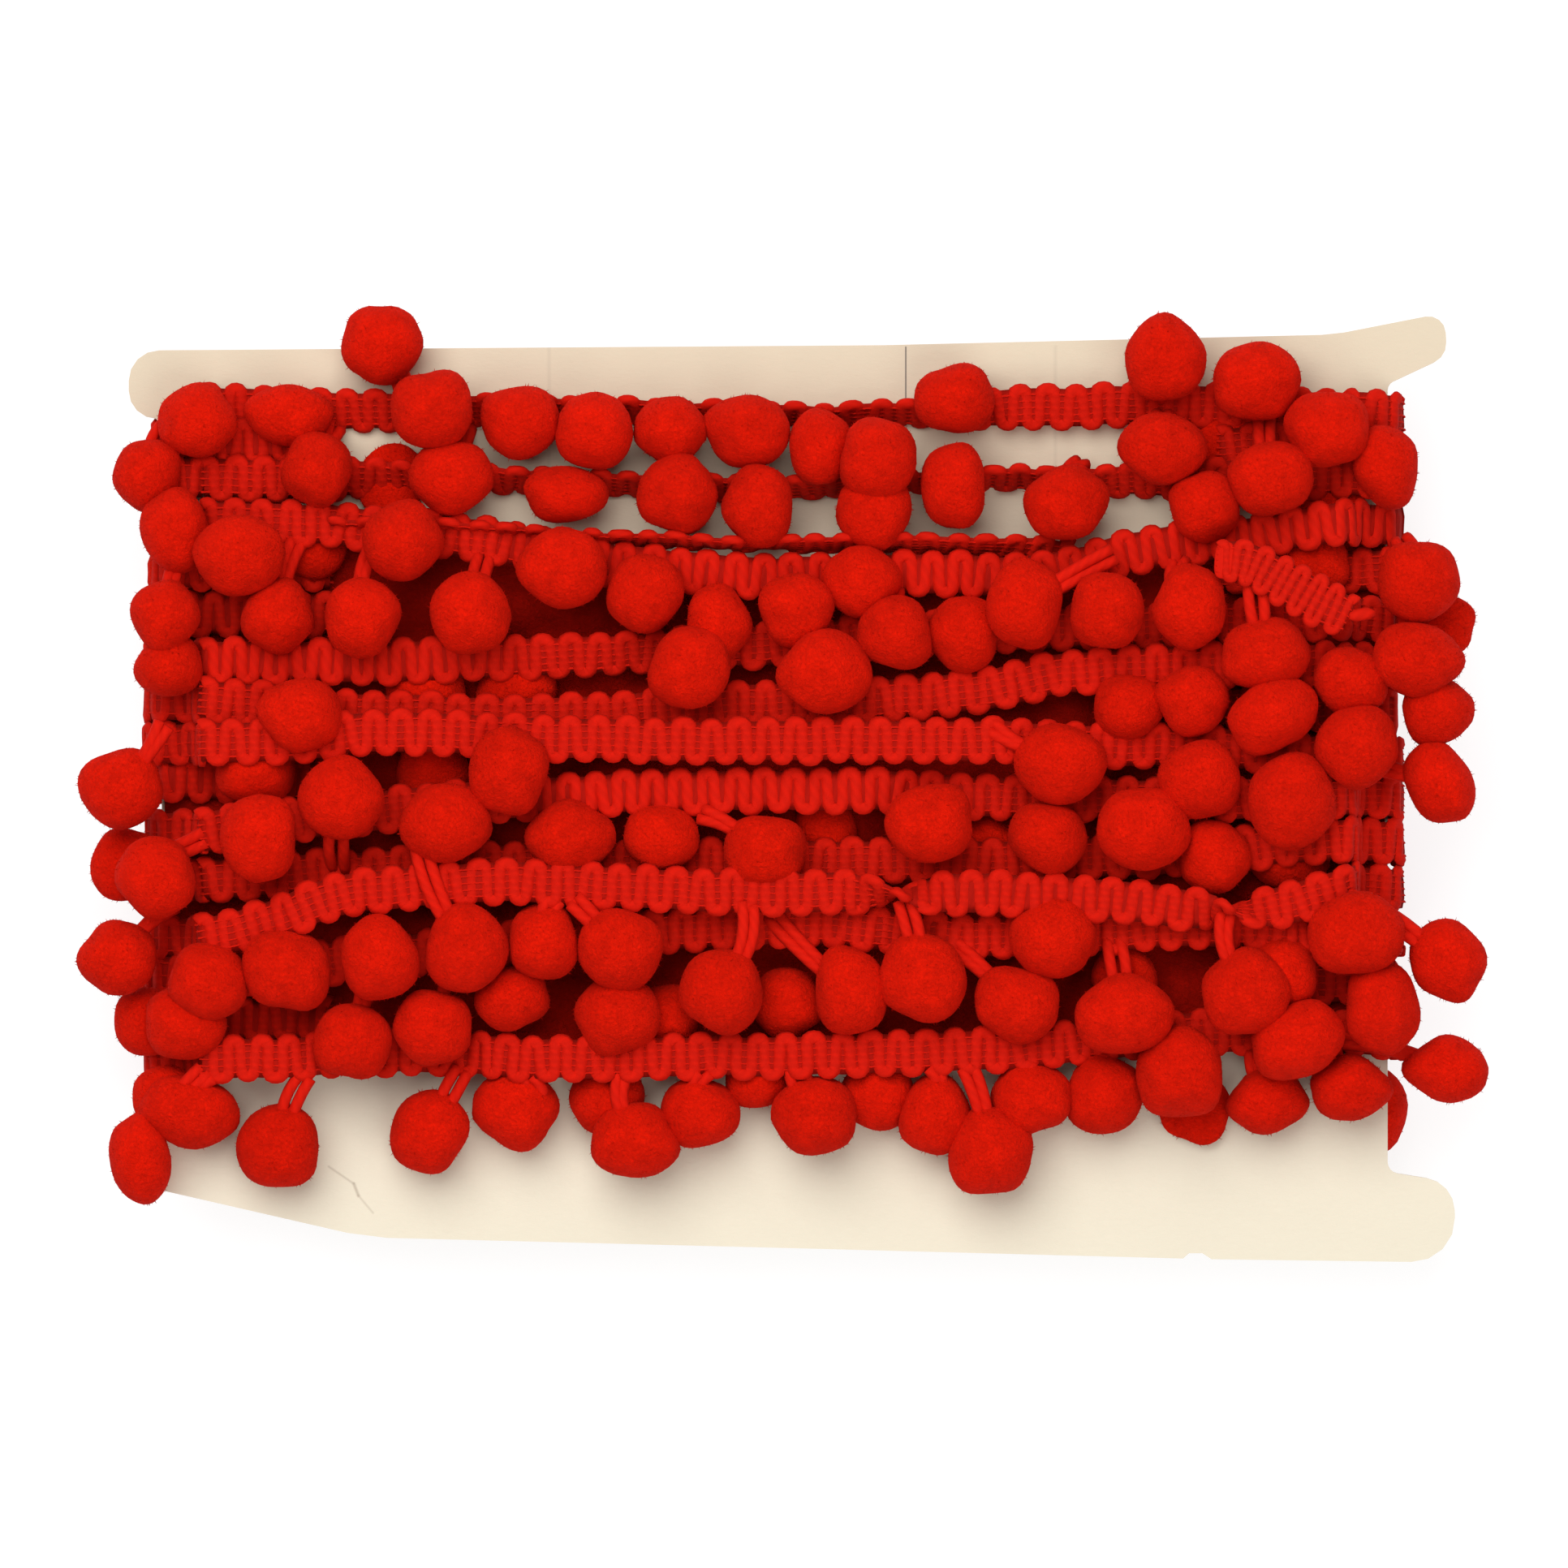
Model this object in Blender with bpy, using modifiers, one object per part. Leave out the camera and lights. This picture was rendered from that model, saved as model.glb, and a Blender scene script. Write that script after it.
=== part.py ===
"""A length of ball fringe wound on a paperboard card, lying on its back.

Millimetres in the tables, metres in the scene. +Z is up, +X runs along the card and +Y is its top edge.
The floor is z = 0 and the origin is under the middle of the card. The braid is one continuous strip: each
turn runs across the front, bends round the card's right edge, runs back behind it and rises round the left
edge into the next turn. The balls hang from the strip's lower edge on pairs of short cords.
"""

import math
import random
from collections import namedtuple

import bmesh
import bpy
from mathutils import Matrix, Vector

MM = 0.001

# Card, in millimetres
CARD_THICK = 1.5
CARD_BACK = 19.0
CARD_FRONT = CARD_BACK + CARD_THICK
CARD_MIDDLE = CARD_BACK + CARD_THICK / 2
RECESS_LEFT = -94.0
RECESS_RIGHT = 91.2
ARC_STEP = math.radians(22.5)

# Braid and balls, in millimetres
BRAID_WIDE = 7.0
BRAID_THICK = 1.4
BALL = 12.6
BALL_SIDES = 8
BACK_BALL_SIDES = 7
BALL_RINGS = 4
CORD_WIDE = 1.5
CORD_APART = 2.1
CLEAR = 0.9
LOWEST_BALL = 5.7
BALL_SWELL = 1.03
BALL_DEPTHS = (0.96, 1.0)
BALL_TWIST = 3.0
UNEVEN = 0.5
CORD_SWELL = 1.2
REST_HEIGHT = 4.3

# How far the winding stands over the card's front face, by height on the card
CROWN = ((-56, 6.3), (-45, 7.5), (-35, 10.0), (-25, 12.0), (-15, 12.8), (10, 13.0), (25, 12.0), (35, 10.5),
         (45, 9.0), (55, 7.0), (66, 6.3))
BALL_STEP = 3.5
BRAID_STEP = 4.0
BRAID_SINK = 1.5

# The corners of the card, each with the radius that rounds it
Corner = namedtuple("Corner", "x y radius")
CARD_CORNERS = (
    Corner(-94.0, 55.2, 1.2), Corner(-94.0, -61.4, 0.6), Corner(-63.0, -68.5, 30.0), Corner(4.0, -70.2, 0),
    Corner(60.3, -71.7, 0), Corner(61.2, -70.9, 0), Corner(63.2, -70.9, 0), Corner(64.6, -71.8, 0),
    Corner(101.6, -72.3, 6.5), Corner(101.2, -60.2, 5.0), Corner(91.2, -58.6, 1.8), Corner(91.2, 60.4, 1.5),
    Corner(100.2, 64.6, 3.2), Corner(99.8, 71.2, 2.6), Corner(83.0, 67.9, 20.0), Corner(15.0, 66.3, 0),
    Corner(-99.0, 65.5, 4.6), Corner(-99.0, 55.2, 4.2),
)

# The front run of each turn, from left to right. A level is 0 deep in the winding, 1 between and 2 on top,
# and a turn is the strip's twist in degrees about its own run.
Station = namedtuple("Station", "x y level turn", defaults=(0,))
RUNS = {
    "A": (Station(-88, 57, .2), Station(-70, 56.3, .2), Station(-45, 56, .3), Station(-20, 55, .3),
          Station(8, 53.8, .4), Station(30, 56.6, .6), Station(52, 57.4, .6), Station(72, 57, .4),
          Station(85, 56, .3)),
    "B": (Station(-88, 46, .2), Station(-60, 46, .1), Station(-30, 45, 0), Station(0, 44.5, 0),
          Station(30, 45.2, .2), Station(60, 45.4, .2), Station(85, 46.5, .2)),
    "C": (Station(-88, 39.6, .4), Station(-63, 38.6, .9), Station(-45, 36.6, 1), Station(-24, 34.2, 1),
          Station(-10, 32.6, 1), Station(20, 32.3, .9), Station(42, 32, 1), Station(54, 34.8, 1),
          Station(70, 37.2, .8), Station(85, 39.4, 1)),
    "D": (Station(-88, 18.4, .8), Station(-60, 18.4, .7), Station(-36, 18.8, .6), Station(-24, 22.6, .5),
          Station(0, 21.6, .4), Station(30, 23, .4), Station(60, 24, .4), Station(85, 25, .3)),
    "E": (Station(-88, 13, 1), Station(-66, 11.6, .7), Station(-40, 11, .6), Station(-8, 12.2, .4),
          Station(13, 12.5, .9), Station(30, 14.2, 1), Station(44, 16.8, 1), Station(60, 17.6, 1),
          Station(85, 18, .3)),
    "F": (Station(-88, 6.1, 1.9), Station(-76, 6.4, 2), Station(-60, 7.7, 1.9), Station(-38, 7.3, 1.9),
          Station(-20, 6.8, 2), Station(10, 6.8, 2), Station(32, 6.6, 1.9), Station(46, 5.8, 1.1),
          Station(60, 5.6, .8), Station(85, 4, .5)),
    "G": (Station(-88, -7.2, 1), Station(-70, -5, .6), Station(-50, -3, .6), Station(-33, -1.8, 1.1),
          Station(-10, -1.5, 1.2), Station(14, -1.5, 1.2), Station(32, -2, .4), Station(60, -2.4, .3),
          Station(85, -1.7, 1)),
    "J": (Station(-88, -14.5, .2), Station(-50, -12.5, .2), Station(0, -11.6, .2), Station(20, -11.6, .3),
          Station(60, -10.4, .3), Station(76, -9, .8), Station(85, -8.4, 1.2)),
    "H": (Station(-88, -23.2, 1.7), Station(-78, -21, 1.8), Station(-69, -17.4, 2), Station(-55, -15.4, 2),
          Station(-40, -14.8, 2), Station(-22, -15.6, 2), Station(-4, -16.4, 2), Station(9, -16.2, 2),
          Station(13, -16.4, 2, 35), Station(17, -16.6, 2, 90), Station(21, -16.5, 2, 145),
          Station(26, -16.4, 2, 180), Station(45, -17.1, 2, 180), Station(60, -18.6, 2, 180),
          Station(64, -18.9, 2, 215), Station(67, -19, 2, 270), Station(71, -18.9, 2, 325),
          Station(76, -18, 2, 360), Station(85, -15.4, 1.5, 360)),
    "H2": (Station(-88, -29, .3), Station(-50, -25, .3), Station(-15, -22, .6), Station(5, -21.2, 1),
           Station(28, -23, .9), Station(42, -22.6, .7), Station(58, -21.6, .9), Station(85, -22, .3)),
    "I": (Station(-88, -41.4, 1.9), Station(-74, -41.2, 1.9), Station(-62, -40.4, .8), Station(-50, -40.6, 1),
          Station(-40, -41.2, 1.9), Station(-12, -41, 2), Station(14, -40.6, 2), Station(34, -39.8, 1.7),
          Station(48, -38.6, .9), Station(60, -37.6, .3), Station(85, -37.8, .4)),
}

# Each turn's far end is slimmer and a little lower, so that it lies inside the start of the next
SLIMMING = 0.07
NEST = Vector((1.5, 0, -0.2))

# The wrap round a card edge: how far past the edge and over the card's middle each station lies
WRAP = ((-4.0, 5.6), (0.4, 3.8), (2.2, 0.0), (0.4, -3.8), (-4.0, -5.6))
BACK_STATIONS = (-60, 0, 60)

# The inner layers of the winding: how far they reach under the outer balls, in front and behind
CORE_X = (-88.0, -70.0, 68.0, 86.0)
CORE_Y = (-34.0, -27.0, 0.0, 26.0, 36.0)
CORE_SINK = 3.0
CORE_EDGE = 0.35
BACK_CORE_X = (-89.0, -80.0, 78.0, 87.0)
BACK_CORE_Y = (-47.0, -38.0, 42.0, 54.0)
BACK_CORE_DEEP = 12.0

# The softened surface of the winding: the size of its grain, the faces it is drawn with, and the gap it keeps
GRAIN = 1.15
TRIANGLES_KEPT = 11700
GAP = 0.35
EARS_FROM = 54.0

# The balls that show in front. A ball with a cord gives the place on a braid that the cord comes from.
Ball = namedtuple("Ball", "x y level wide tall turn cord", defaults=(BALL, BALL, 0, None))
TOP_BALLS = (
    Ball(-60.8, 66.3, 1, 12.5, 12, 0, (-57, 58)), Ball(-88.8, 54.6, 1, 12.5, 11),
    Ball(-74.5, 55.6, .6, 13.6, 10), Ball(-53, 56.5, 2, 12.5, 13),
    Ball(-96, 46.5, .4, 11, 11.4), Ball(-79.5, 46.6, .2, 11, 10.5),
    Ball(-70.3, 47.2, 1, 11, 12), Ball(-50, 46.2, 1, 12.5, 11), Ball(-59.4, 46, 0, 11.5, 11),
    Ball(-91.3, 38, 1, 10.5, 13, 15), Ball(-81.8, 34.2, 2, 13.8, 12.4), Ball(-71.5, 36, 0, 11, 11),
    Ball(-57, 36.4, 2, 12.3, 12.2), Ball(-93, 25.5, 1.4, 10.5, 11), Ball(-92.6, 18, .6, 10, 10),
    Ball(-76, 24.8, 1, 11, 11), Ball(-63.5, 25, 2, 11.8, 12.5), Ball(-47, 25.5, 2, 12, 12.7),
    Ball(-40, 54.5, 1, 12.5, 11), Ball(-28.6, 53.2, 1.4, 11.8, 12), Ball(-17.2, 53.2, 1, 11, 10.5),
    Ball(-5.5, 53, 1.3, 13, 11), Ball(-33, 43.6, .8, 13.3, 9), Ball(-16, 43.5, 1.2, 12.5, 12, 45),
    Ball(-4, 41.5, 1.2, 10.8, 13), Ball(-33.3, 32.4, 2, 13.2, 12.2), Ball(-20.8, 28.6, 1.5, 12, 11.5, 30),
    Ball(-10, 24.2, 1, 10, 11.5), Ball(2, 26, 1.5, 11.6, 11.6), Ball(-14, 17.5, 2, 12, 13, -30),
    Ball(5.3, 50.8, 1, 10, 11.5), Ball(14, 48.8, 2, 12, 13), Ball(13.5, 41, 1.1, 11.5, 11.5),
    Ball(25.8, 57.8, 1.2, 12.2, 10.5), Ball(25.6, 44.8, 1.2, 10.4, 13.5), Ball(42.4, 42.2, 1.2, 12.7, 11.6),
    Ball(57, 64, 1.6, 12.7, 13, 0, (56, 58)), Ball(57, 50.2, 1.6, 13.5, 11, 0, (57, 56)),
    Ball(11.7, 30.4, 1.1, 12, 11),
    Ball(16.5, 22.3, 1.4, 11.4, 12, 25), Ball(27, 22.3, .6, 11, 12), Ball(36, 27, 2, 11.3, 14),
    Ball(48.6, 26, 2, 11.8, 13), Ball(61, 26.4, 1.8, 11.2, 12.6),
    Ball(71.3, 60.6, 1.7, 13.2, 11.7, 0, (71, 57)),
    Ball(81.5, 53.3, 2, 13.5, 11.5), Ball(67.5, 51, .2, 11, 11), Ball(73, 46, 2, 13, 11.7),
    Ball(63.2, 41.6, 1.2, 11.5, 10.6), Ball(82.5, 43.4, .2, 10, 9.6), Ball(90.5, 47.5, 1, 10, 13, 10),
    Ball(79.5, 33, .2, 12.5, 9.6), Ball(95.2, 30.4, 1.8, 12.5, 12), Ball(72, 19.6, 1.9, 14, 11),
    Ball(98.5, 24, .2, 11.4, 10), Ball(95, 18.7, 1.8, 14, 11),
)
MIDDLE_BALLS = (
    Ball(-72.3, 10.3, 2, 13, 11.5), Ball(-79.5, 2, .1, 12, 11.6), Ball(-78.5, -8.2, 2, 12, 13.5),
    Ball(-66.3, -2.3, 2, 12.5, 13), Ball(-99.7, -.7, .6, 12.5, 12, 0, (-87, 5)),
    Ball(-99.4, -12, .1, 11, 11.4, 0, (-87, -8)),
    Ball(-94.5, -14, 1.6, 12, 12.3), Ball(-40.3, 14.6, .3, 12.5, 10), Ball(6.2, 16.7, 2, 14, 13),
    Ball(-41.3, 2, 2, 12.5, 14), Ball(-50.7, -5.8, 1.8, 13.5, 12), Ball(-32, -8.2, 1, 12.8, 11),
    Ball(-18.5, -8, .6, 11.5, 10), Ball(-2.8, -10.4, .9, 13, 11.5), Ball(41.7, 3.3, 1.8, 13.7, 12.5),
    Ball(52, 11.6, .4, 11, 10), Ball(61.3, 12.5, 1.2, 11, 10.5), Ball(21.7, -5.8, 1.7, 13.3, 12),
    Ball(39.5, -8, 1.2, 12.3, 11), Ball(54.2, -6.7, 1.8, 14.2, 12.7), Ball(30, -11, .3, 12, 11),
    Ball(73.6, 10.4, 2, 14.6, 10.8, 25), Ball(85, 15.4, 1.2, 11, 10.5), Ball(86, 5.6, 2, 12.5, 12.5),
    Ball(98, 11, .7, 11, 10.4), Ball(98.6, 0, 1, 9.6, 13, 25, (84, 3)), Ball(62.4, .6, 1.5, 12.3, 11.8),
    Ball(76.3, -2.6, 2, 13.7, 14.2), Ball(64.5, -11, .6, 11, 11), Ball(76, -10.6, .3, 12, 10.5),
)
LOWER_BALLS = (
    Ball(-100.2, -26, .8, 11.6, 11.4, 0, (-87, -22)), Ball(-95.6, -35.6, .1, 11, 10.8),
    Ball(-86.6, -29.7, 1.6, 11.8, 11.6), Ball(-90, -35.8, 1, 12.6, 11.6), Ball(-74.4, -28, 1.8, 13.8, 13.8),
    Ball(-60.9, -26.2, 2, 11.6, 13, 20), Ball(-65, -38.7, 2, 12.4, 12.2), Ball(-52.8, -36.6, 1.7, 11.8, 11.6),
    Ball(-48, -24.8, 2, 12.4, 13.2), Ball(-36, -23.6, 1.4, 11, 12, 20), Ball(-41, -32.2, .8, 11.6, 10),
    Ball(-24.5, -24.6, 1.8, 13, 12.4), Ball(-25.3, -34.8, 1.5, 13, 12), Ball(-9.4, -31.4, 2, 13, 13.2),
    Ball(9.7, -31.2, 1.5, 11.6, 13.4), Ball(20.9, -29.2, 2, 13.2, 13, -40), Ball(35, -33.1, 1.5, 13.6, 11.4),
    Ball(40.5, -23.2, 1.3, 13, 11.8), Ball(51.2, -34.5, 1.9, 14.9, 11.6, 0, (49.4, -23)),
    Ball(69.3, -31.2, 1.9, 13.6, 13.2),
    Ball(74.8, -28.5, .4, 11, 11), Ball(77, -38.7, 2, 14.7, 11.6, 25), Ball(85.6, -22.4, 1.8, 13.7, 12.6),
    Ball(89.7, -33.8, 1.4, 10.8, 14, 0, (84, -23)), Ball(100, -27, .8, 11.2, 13.2, 20, (84, -17)),
    Ball(100.1, -42.9, .5, 12, 10.2, 0, (84, -38.5)),
)
HANGING_BALLS = (
    Ball(-89.6, -49.2, 1, 15, 10.8, -12), Ball(-97, -56.4, 1, 9, 13.8, 5, (-87, -43)),
    Ball(-76, -54.8, 1, 12.9, 12.9, 0, (-72, -44)), Ball(-53.4, -52.6, 1, 12.9, 13.1, 0, (-48.4, -43)),
    Ball(-40.5, -49, .5, 13.4, 12), Ball(-27, -47.4, .2, 11.5, 10.8), Ball(-22.4, -53.6, 1.6, 14, 11.4),
    Ball(-12.7, -49.5, 1, 12.2, 11.2), Ball(4.8, -49.9, 1.5, 12.8, 11.6), Ball(14, -46.8, .3, 11, 10.8),
    Ball(22.7, -49.7, 1, 11, 12.2), Ball(31, -55.5, 1.6, 13, 13.2, 0, (27.6, -42.6)),
    Ball(37.2, -47.4, 1, 12.6, 11.6), Ball(48.3, -47, .6, 12, 12),
    Ball(59.8, -43.6, 2, 13.2, 13.4, 0, (55, -38)), Ball(62, -48.9, .2, 11, 10.8),
    Ball(72.8, -47.6, .5, 12.6, 10, 12), Ball(85.3, -46, 1, 12.4, 10, 0, (82, -39)),
)
FRONT_BALLS = TOP_BALLS + MIDDLE_BALLS + LOWER_BALLS + HANGING_BALLS

# The back is hidden: its balls hang evenly from each run, and one in each of these places bears on the floor
BACK_BRAID_LIFT = 6.0
BACK_BRAID_STEP = 2.5
BACK_PITCH = 22.0
BACK_MARGIN = 4.0
BACK_DROP = 6.5
BACK_LIFTS = (9.0, 12.0)
BACK_STRAY = 2.0
BACK_SIZES = (0.96, 1.06)
BACK_TURNS = (0.0, 50.0)
BELOW_FLOOR = -0.4
RESTING = ((-70, 48), (0, 50), (70, 46), (-74, 2), (-24, -4), (28, 4), (76, 0), (-66, -42), (4, -44),
           (70, -42))

# The one ball of the back that shows from the front, past the card's right edge, and where its cord starts
PEEKING = Vector((88.4, -49.4, CARD_BACK - 7.2))
PEEKING_ROOT = Vector((82.0, -40.0, CARD_BACK - 7.0))

# The loose cut end of the strip: its middle line, how high it lies over the card, and its width
LOOSE_END = ((64.8, 33.6, 18.2, 5.6), (69, 33.2, 18.6, 6.6), (75, 30.2, 18.8, 7.0), (81, 26.8, 18.6, 7.0),
             (85.6, 24.6, 18.2, 5.4))

CARD_COLOUR = (0.86, 0.74, 0.60)
TRIM_COLOUR = (0.66, 0.010, 0.004)
SHARP_ANGLE = math.radians(50)
SEED = 7


def clear_scene():
    """An empty scene to build in."""
    for item in list(bpy.data.objects):
        bpy.data.objects.remove(item, do_unlink=True)


def new_collection(name):
    """A new collection in the scene."""
    collection = bpy.data.collections.new(name)
    bpy.context.scene.collection.children.link(collection)
    return collection


def material(name, colour, roughness):
    """A plain matt finish of one colour."""
    made = bpy.data.materials.new(name)
    made.use_nodes = True
    shader = made.node_tree.nodes["Principled BSDF"]
    shader.inputs["Base Color"].default_value = (*colour, 1)
    shader.inputs["Roughness"].default_value = roughness
    shader.inputs["Metallic"].default_value = 0
    made.diffuse_color = (*colour, 1)
    return made


def object_from(bm, name, collection):
    """A new object that holds this bmesh, whose points are in millimetres."""
    bmesh.ops.scale(bm, vec=(MM, MM, MM), verts=bm.verts)
    mesh = bpy.data.meshes.new(name)
    bm.to_mesh(mesh)
    bm.free()
    made = bpy.data.objects.new(name, mesh)
    collection.objects.link(made)
    return made


def crown(y):
    """The winding's height over the card at this place, read between the rows of CROWN."""
    for (y0, low), (y1, high) in zip(CROWN, CROWN[1:]):
        if y <= y1:
            return low + (high - low) * max(0.0, y - y0) / (y1 - y0)
    return CROWN[-1][1]


def braid_lift(y, level):
    """The height of a braid's middle over the card's front face."""
    return max(crown(y) + (level - 1) * BRAID_STEP - BRAID_SINK, BRAID_THICK / 2 + CLEAR)


def rounded_corner(before, corner, after):
    """The points of the arc that rounds one corner, or the corner itself where it has no radius."""
    here = Vector((corner.x, corner.y))
    if not corner.radius:
        return [here]
    back = (Vector((before.x, before.y)) - here).normalized()
    ahead = (Vector((after.x, after.y)) - here).normalized()
    half = back.angle(ahead) / 2
    reach = corner.radius / math.tan(half)
    centre = here + (back + ahead).normalized() * corner.radius / math.sin(half)
    start = here + back * reach - centre
    sweep = math.pi - 2 * half
    turning = 1 if back.cross(ahead) < 0 else -1
    steps = max(1, round(sweep / ARC_STEP))
    spin = [turning * sweep * i / steps for i in range(steps + 1)]
    return [centre + Matrix.Rotation(angle, 2) @ start for angle in spin]


def make_card(collection):
    """The die-cut card: a flat closed outline with rounded corners, extruded to its thickness."""
    count = len(CARD_CORNERS)
    outline = []
    for i, corner in enumerate(CARD_CORNERS):
        outline += rounded_corner(CARD_CORNERS[i - 1], corner, CARD_CORNERS[(i + 1) % count])
    curve = bpy.data.curves.new("card", "CURVE")
    curve.dimensions = "2D"
    curve.fill_mode = "BOTH"
    curve.extrude = CARD_THICK / 2 * MM
    spline = curve.splines.new("POLY")
    spline.points.add(len(outline) - 1)
    for point, place in zip(spline.points, outline):
        point.co = (place.x * MM, place.y * MM, 0, 1)
    spline.use_cyclic_u = True
    card = bpy.data.objects.new("card", curve)
    card.location = (0, 0, CARD_MIDDLE * MM)
    collection.objects.link(card)
    return card


def loft(name, middles, rolls, widths, collection):
    """A flat strip: a four-cornered section carried along its middle line and rolled about it."""
    bm = bmesh.new()
    rings = []
    last = len(middles) - 1
    for i, (middle, roll, wide) in enumerate(zip(middles, rolls, widths)):
        ahead = (middles[min(i + 1, last)] - middles[max(i - 1, 0)]).normalized()
        side = (Vector((0, 1, 0)) - ahead * ahead.y).normalized()
        spin = Matrix.Rotation(math.radians(roll), 3, ahead)
        side = spin @ side * wide / 2
        face = ahead.cross(side).normalized() * BRAID_THICK / 2
        corners = (side + face, face - side, -side - face, side - face)
        rings.append([bm.verts.new(middle + corner) for corner in corners])
    for first, second in zip(rings, rings[1:]):
        for k in range(4):
            bm.faces.new((first[k], first[k - 1], second[k - 1], second[k]))
    bm.faces.new(rings[0])
    bm.faces.new(reversed(rings[-1]))
    bmesh.ops.recalc_face_normals(bm, faces=bm.faces)
    return object_from(bm, name, collection)


def wrap(edge, outward, start_y, end_y):
    """The strip's stations round one card edge, from the face that it leaves to the face that it meets."""
    points = []
    for i, (past, over) in enumerate(WRAP):
        y = start_y + (end_y - start_y) * i / (len(WRAP) - 1)
        points.append(Vector((edge + outward * past, y, CARD_MIDDLE + outward * over)))
    return points


def front_middles(run):
    """The middle line of one front run, at the height that its levels give."""
    return [Vector((s.x, s.y, CARD_FRONT + braid_lift(s.y, s.level))) for s in run]


def make_turns(collection):
    """Each turn of the winding: its front run, the right edge, its back run and the left edge."""
    runs = list(RUNS.values())
    turns = []
    for i, run in enumerate(runs):
        start_y = run[-1].y
        end_y = runs[i + 1][0].y if i + 1 < len(runs) else run[0].y
        middles = front_middles(run) + wrap(RECESS_RIGHT, 1, start_y, start_y - 1)
        for k, x in enumerate(reversed(BACK_STATIONS)):
            y = start_y + (end_y - start_y) * (k + 1) / (len(BACK_STATIONS) + 1)
            lift = BACK_BRAID_LIFT + BACK_BRAID_STEP * ((i + k) % 3)
            middles.append(Vector((x, y, CARD_BACK - lift)))
        if i + 1 < len(runs):
            middles += wrap(RECESS_LEFT, -1, end_y, end_y)
            middles.append(front_middles(runs[i + 1])[0] + NEST)
        rolls = [s.turn for s in run] + [run[-1].turn] * (len(middles) - len(run))
        widths = [BRAID_WIDE * (1 - SLIMMING * k / len(middles)) for k in range(len(middles))]
        turns.append(loft(f"turn_{i}", middles, rolls, widths, collection))
    return turns


def make_core(name, columns, rows, near, far, collection):
    """A slab of the winding's inner layers, crowned in the middle and low at its edges."""
    bm = bmesh.new()
    sheets = []
    for height in (near, far):
        sheets.append([[bm.verts.new((x, y, height(i, j, y))) for i, x in enumerate(columns)]
                       for j, y in enumerate(rows)])
    for sheet in sheets:
        for low, high in zip(sheet, sheet[1:]):
            for i in range(len(columns) - 1):
                bm.faces.new((low[i], low[i + 1], high[i + 1], high[i]))
    rims = []
    for sheet in sheets:
        right = [row[-1] for row in sheet[1:-1]]
        left = [row[0] for row in sheet[-2:0:-1]]
        rims.append(sheet[0] + right + sheet[-1][::-1] + left)
    for k in range(len(rims[0])):
        bm.faces.new((rims[0][k - 1], rims[0][k], rims[1][k], rims[1][k - 1]))
    bmesh.ops.recalc_face_normals(bm, faces=bm.faces)
    return object_from(bm, name, collection)


def make_cores(collection):
    """The inner layers in front of the card and behind it, each clear of its face."""
    def share(i, j, columns, rows):
        inside = 0 < i < len(columns) - 1 and 0 < j < len(rows) - 1
        return 1 if inside else CORE_EDGE

    def front(i, j, y):
        return CARD_FRONT + (crown(y) - CORE_SINK) * share(i, j, CORE_X, CORE_Y)

    def back(i, j, y):
        return CARD_BACK - BACK_CORE_DEEP * share(i, j, BACK_CORE_X, BACK_CORE_Y)

    make_core("front_core", CORE_X, CORE_Y, lambda i, j, y: CARD_FRONT + CLEAR, front, collection)
    make_core("back_core", BACK_CORE_X, BACK_CORE_Y, lambda i, j, y: CARD_BACK - CLEAR, back, collection)


def make_ball(name, place, size, turn, sides, bounds, collection):
    """One ball: a sphere of few faces, stretched, turned and kept between a lowest and a highest level."""
    bm = bmesh.new()
    bmesh.ops.create_uvsphere(bm, u_segments=sides, v_segments=BALL_RINGS, radius=0.5)
    bmesh.ops.scale(bm, vec=size, verts=bm.verts)
    bmesh.ops.rotate(bm, matrix=Matrix.Rotation(math.radians(turn), 3, "Z"), verts=bm.verts)
    bmesh.ops.translate(bm, vec=place, verts=bm.verts)
    for vert in bm.verts:
        vert.co.z = min(max(vert.co.z, bounds[0]), bounds[1])
    return object_from(bm, name, collection)


def make_cords(name, start, end, collection):
    """The pair of short cords that a ball hangs from, each with four sides."""
    along = end - start
    apart = Vector((-along.y, along.x, 0)).normalized() * CORD_APART / 2
    radius = CORD_WIDE / 2 * CORD_SWELL
    for side in (-1, 1):
        middle = (start + end) / 2 + apart * side
        bm = bmesh.new()
        bmesh.ops.create_cone(bm, cap_ends=True, segments=4, radius1=radius, radius2=radius,
                              depth=along.length)
        aim = along.to_track_quat("Z", "Y").to_matrix()
        bmesh.ops.rotate(bm, matrix=aim, verts=bm.verts)
        bmesh.ops.translate(bm, vec=middle, verts=bm.verts)
        object_from(bm, f"{name}_{side}", collection)


def nearest_braid(x, y):
    """The middle of the strip nearest to this place on the front."""
    best = None
    for run in RUNS.values():
        for a, b in zip(run, run[1:]):
            share = min(max((x - a.x) / (b.x - a.x), 0), 1)
            at_y = a.y + (b.y - a.y) * share
            lift = braid_lift(at_y, a.level + (b.level - a.level) * share)
            gap = math.hypot(a.x + (b.x - a.x) * share - x, at_y - y)
            if best is None or gap < best[0]:
                best = (gap, lift)
    return Vector((x, y, CARD_FRONT + best[1]))


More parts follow.
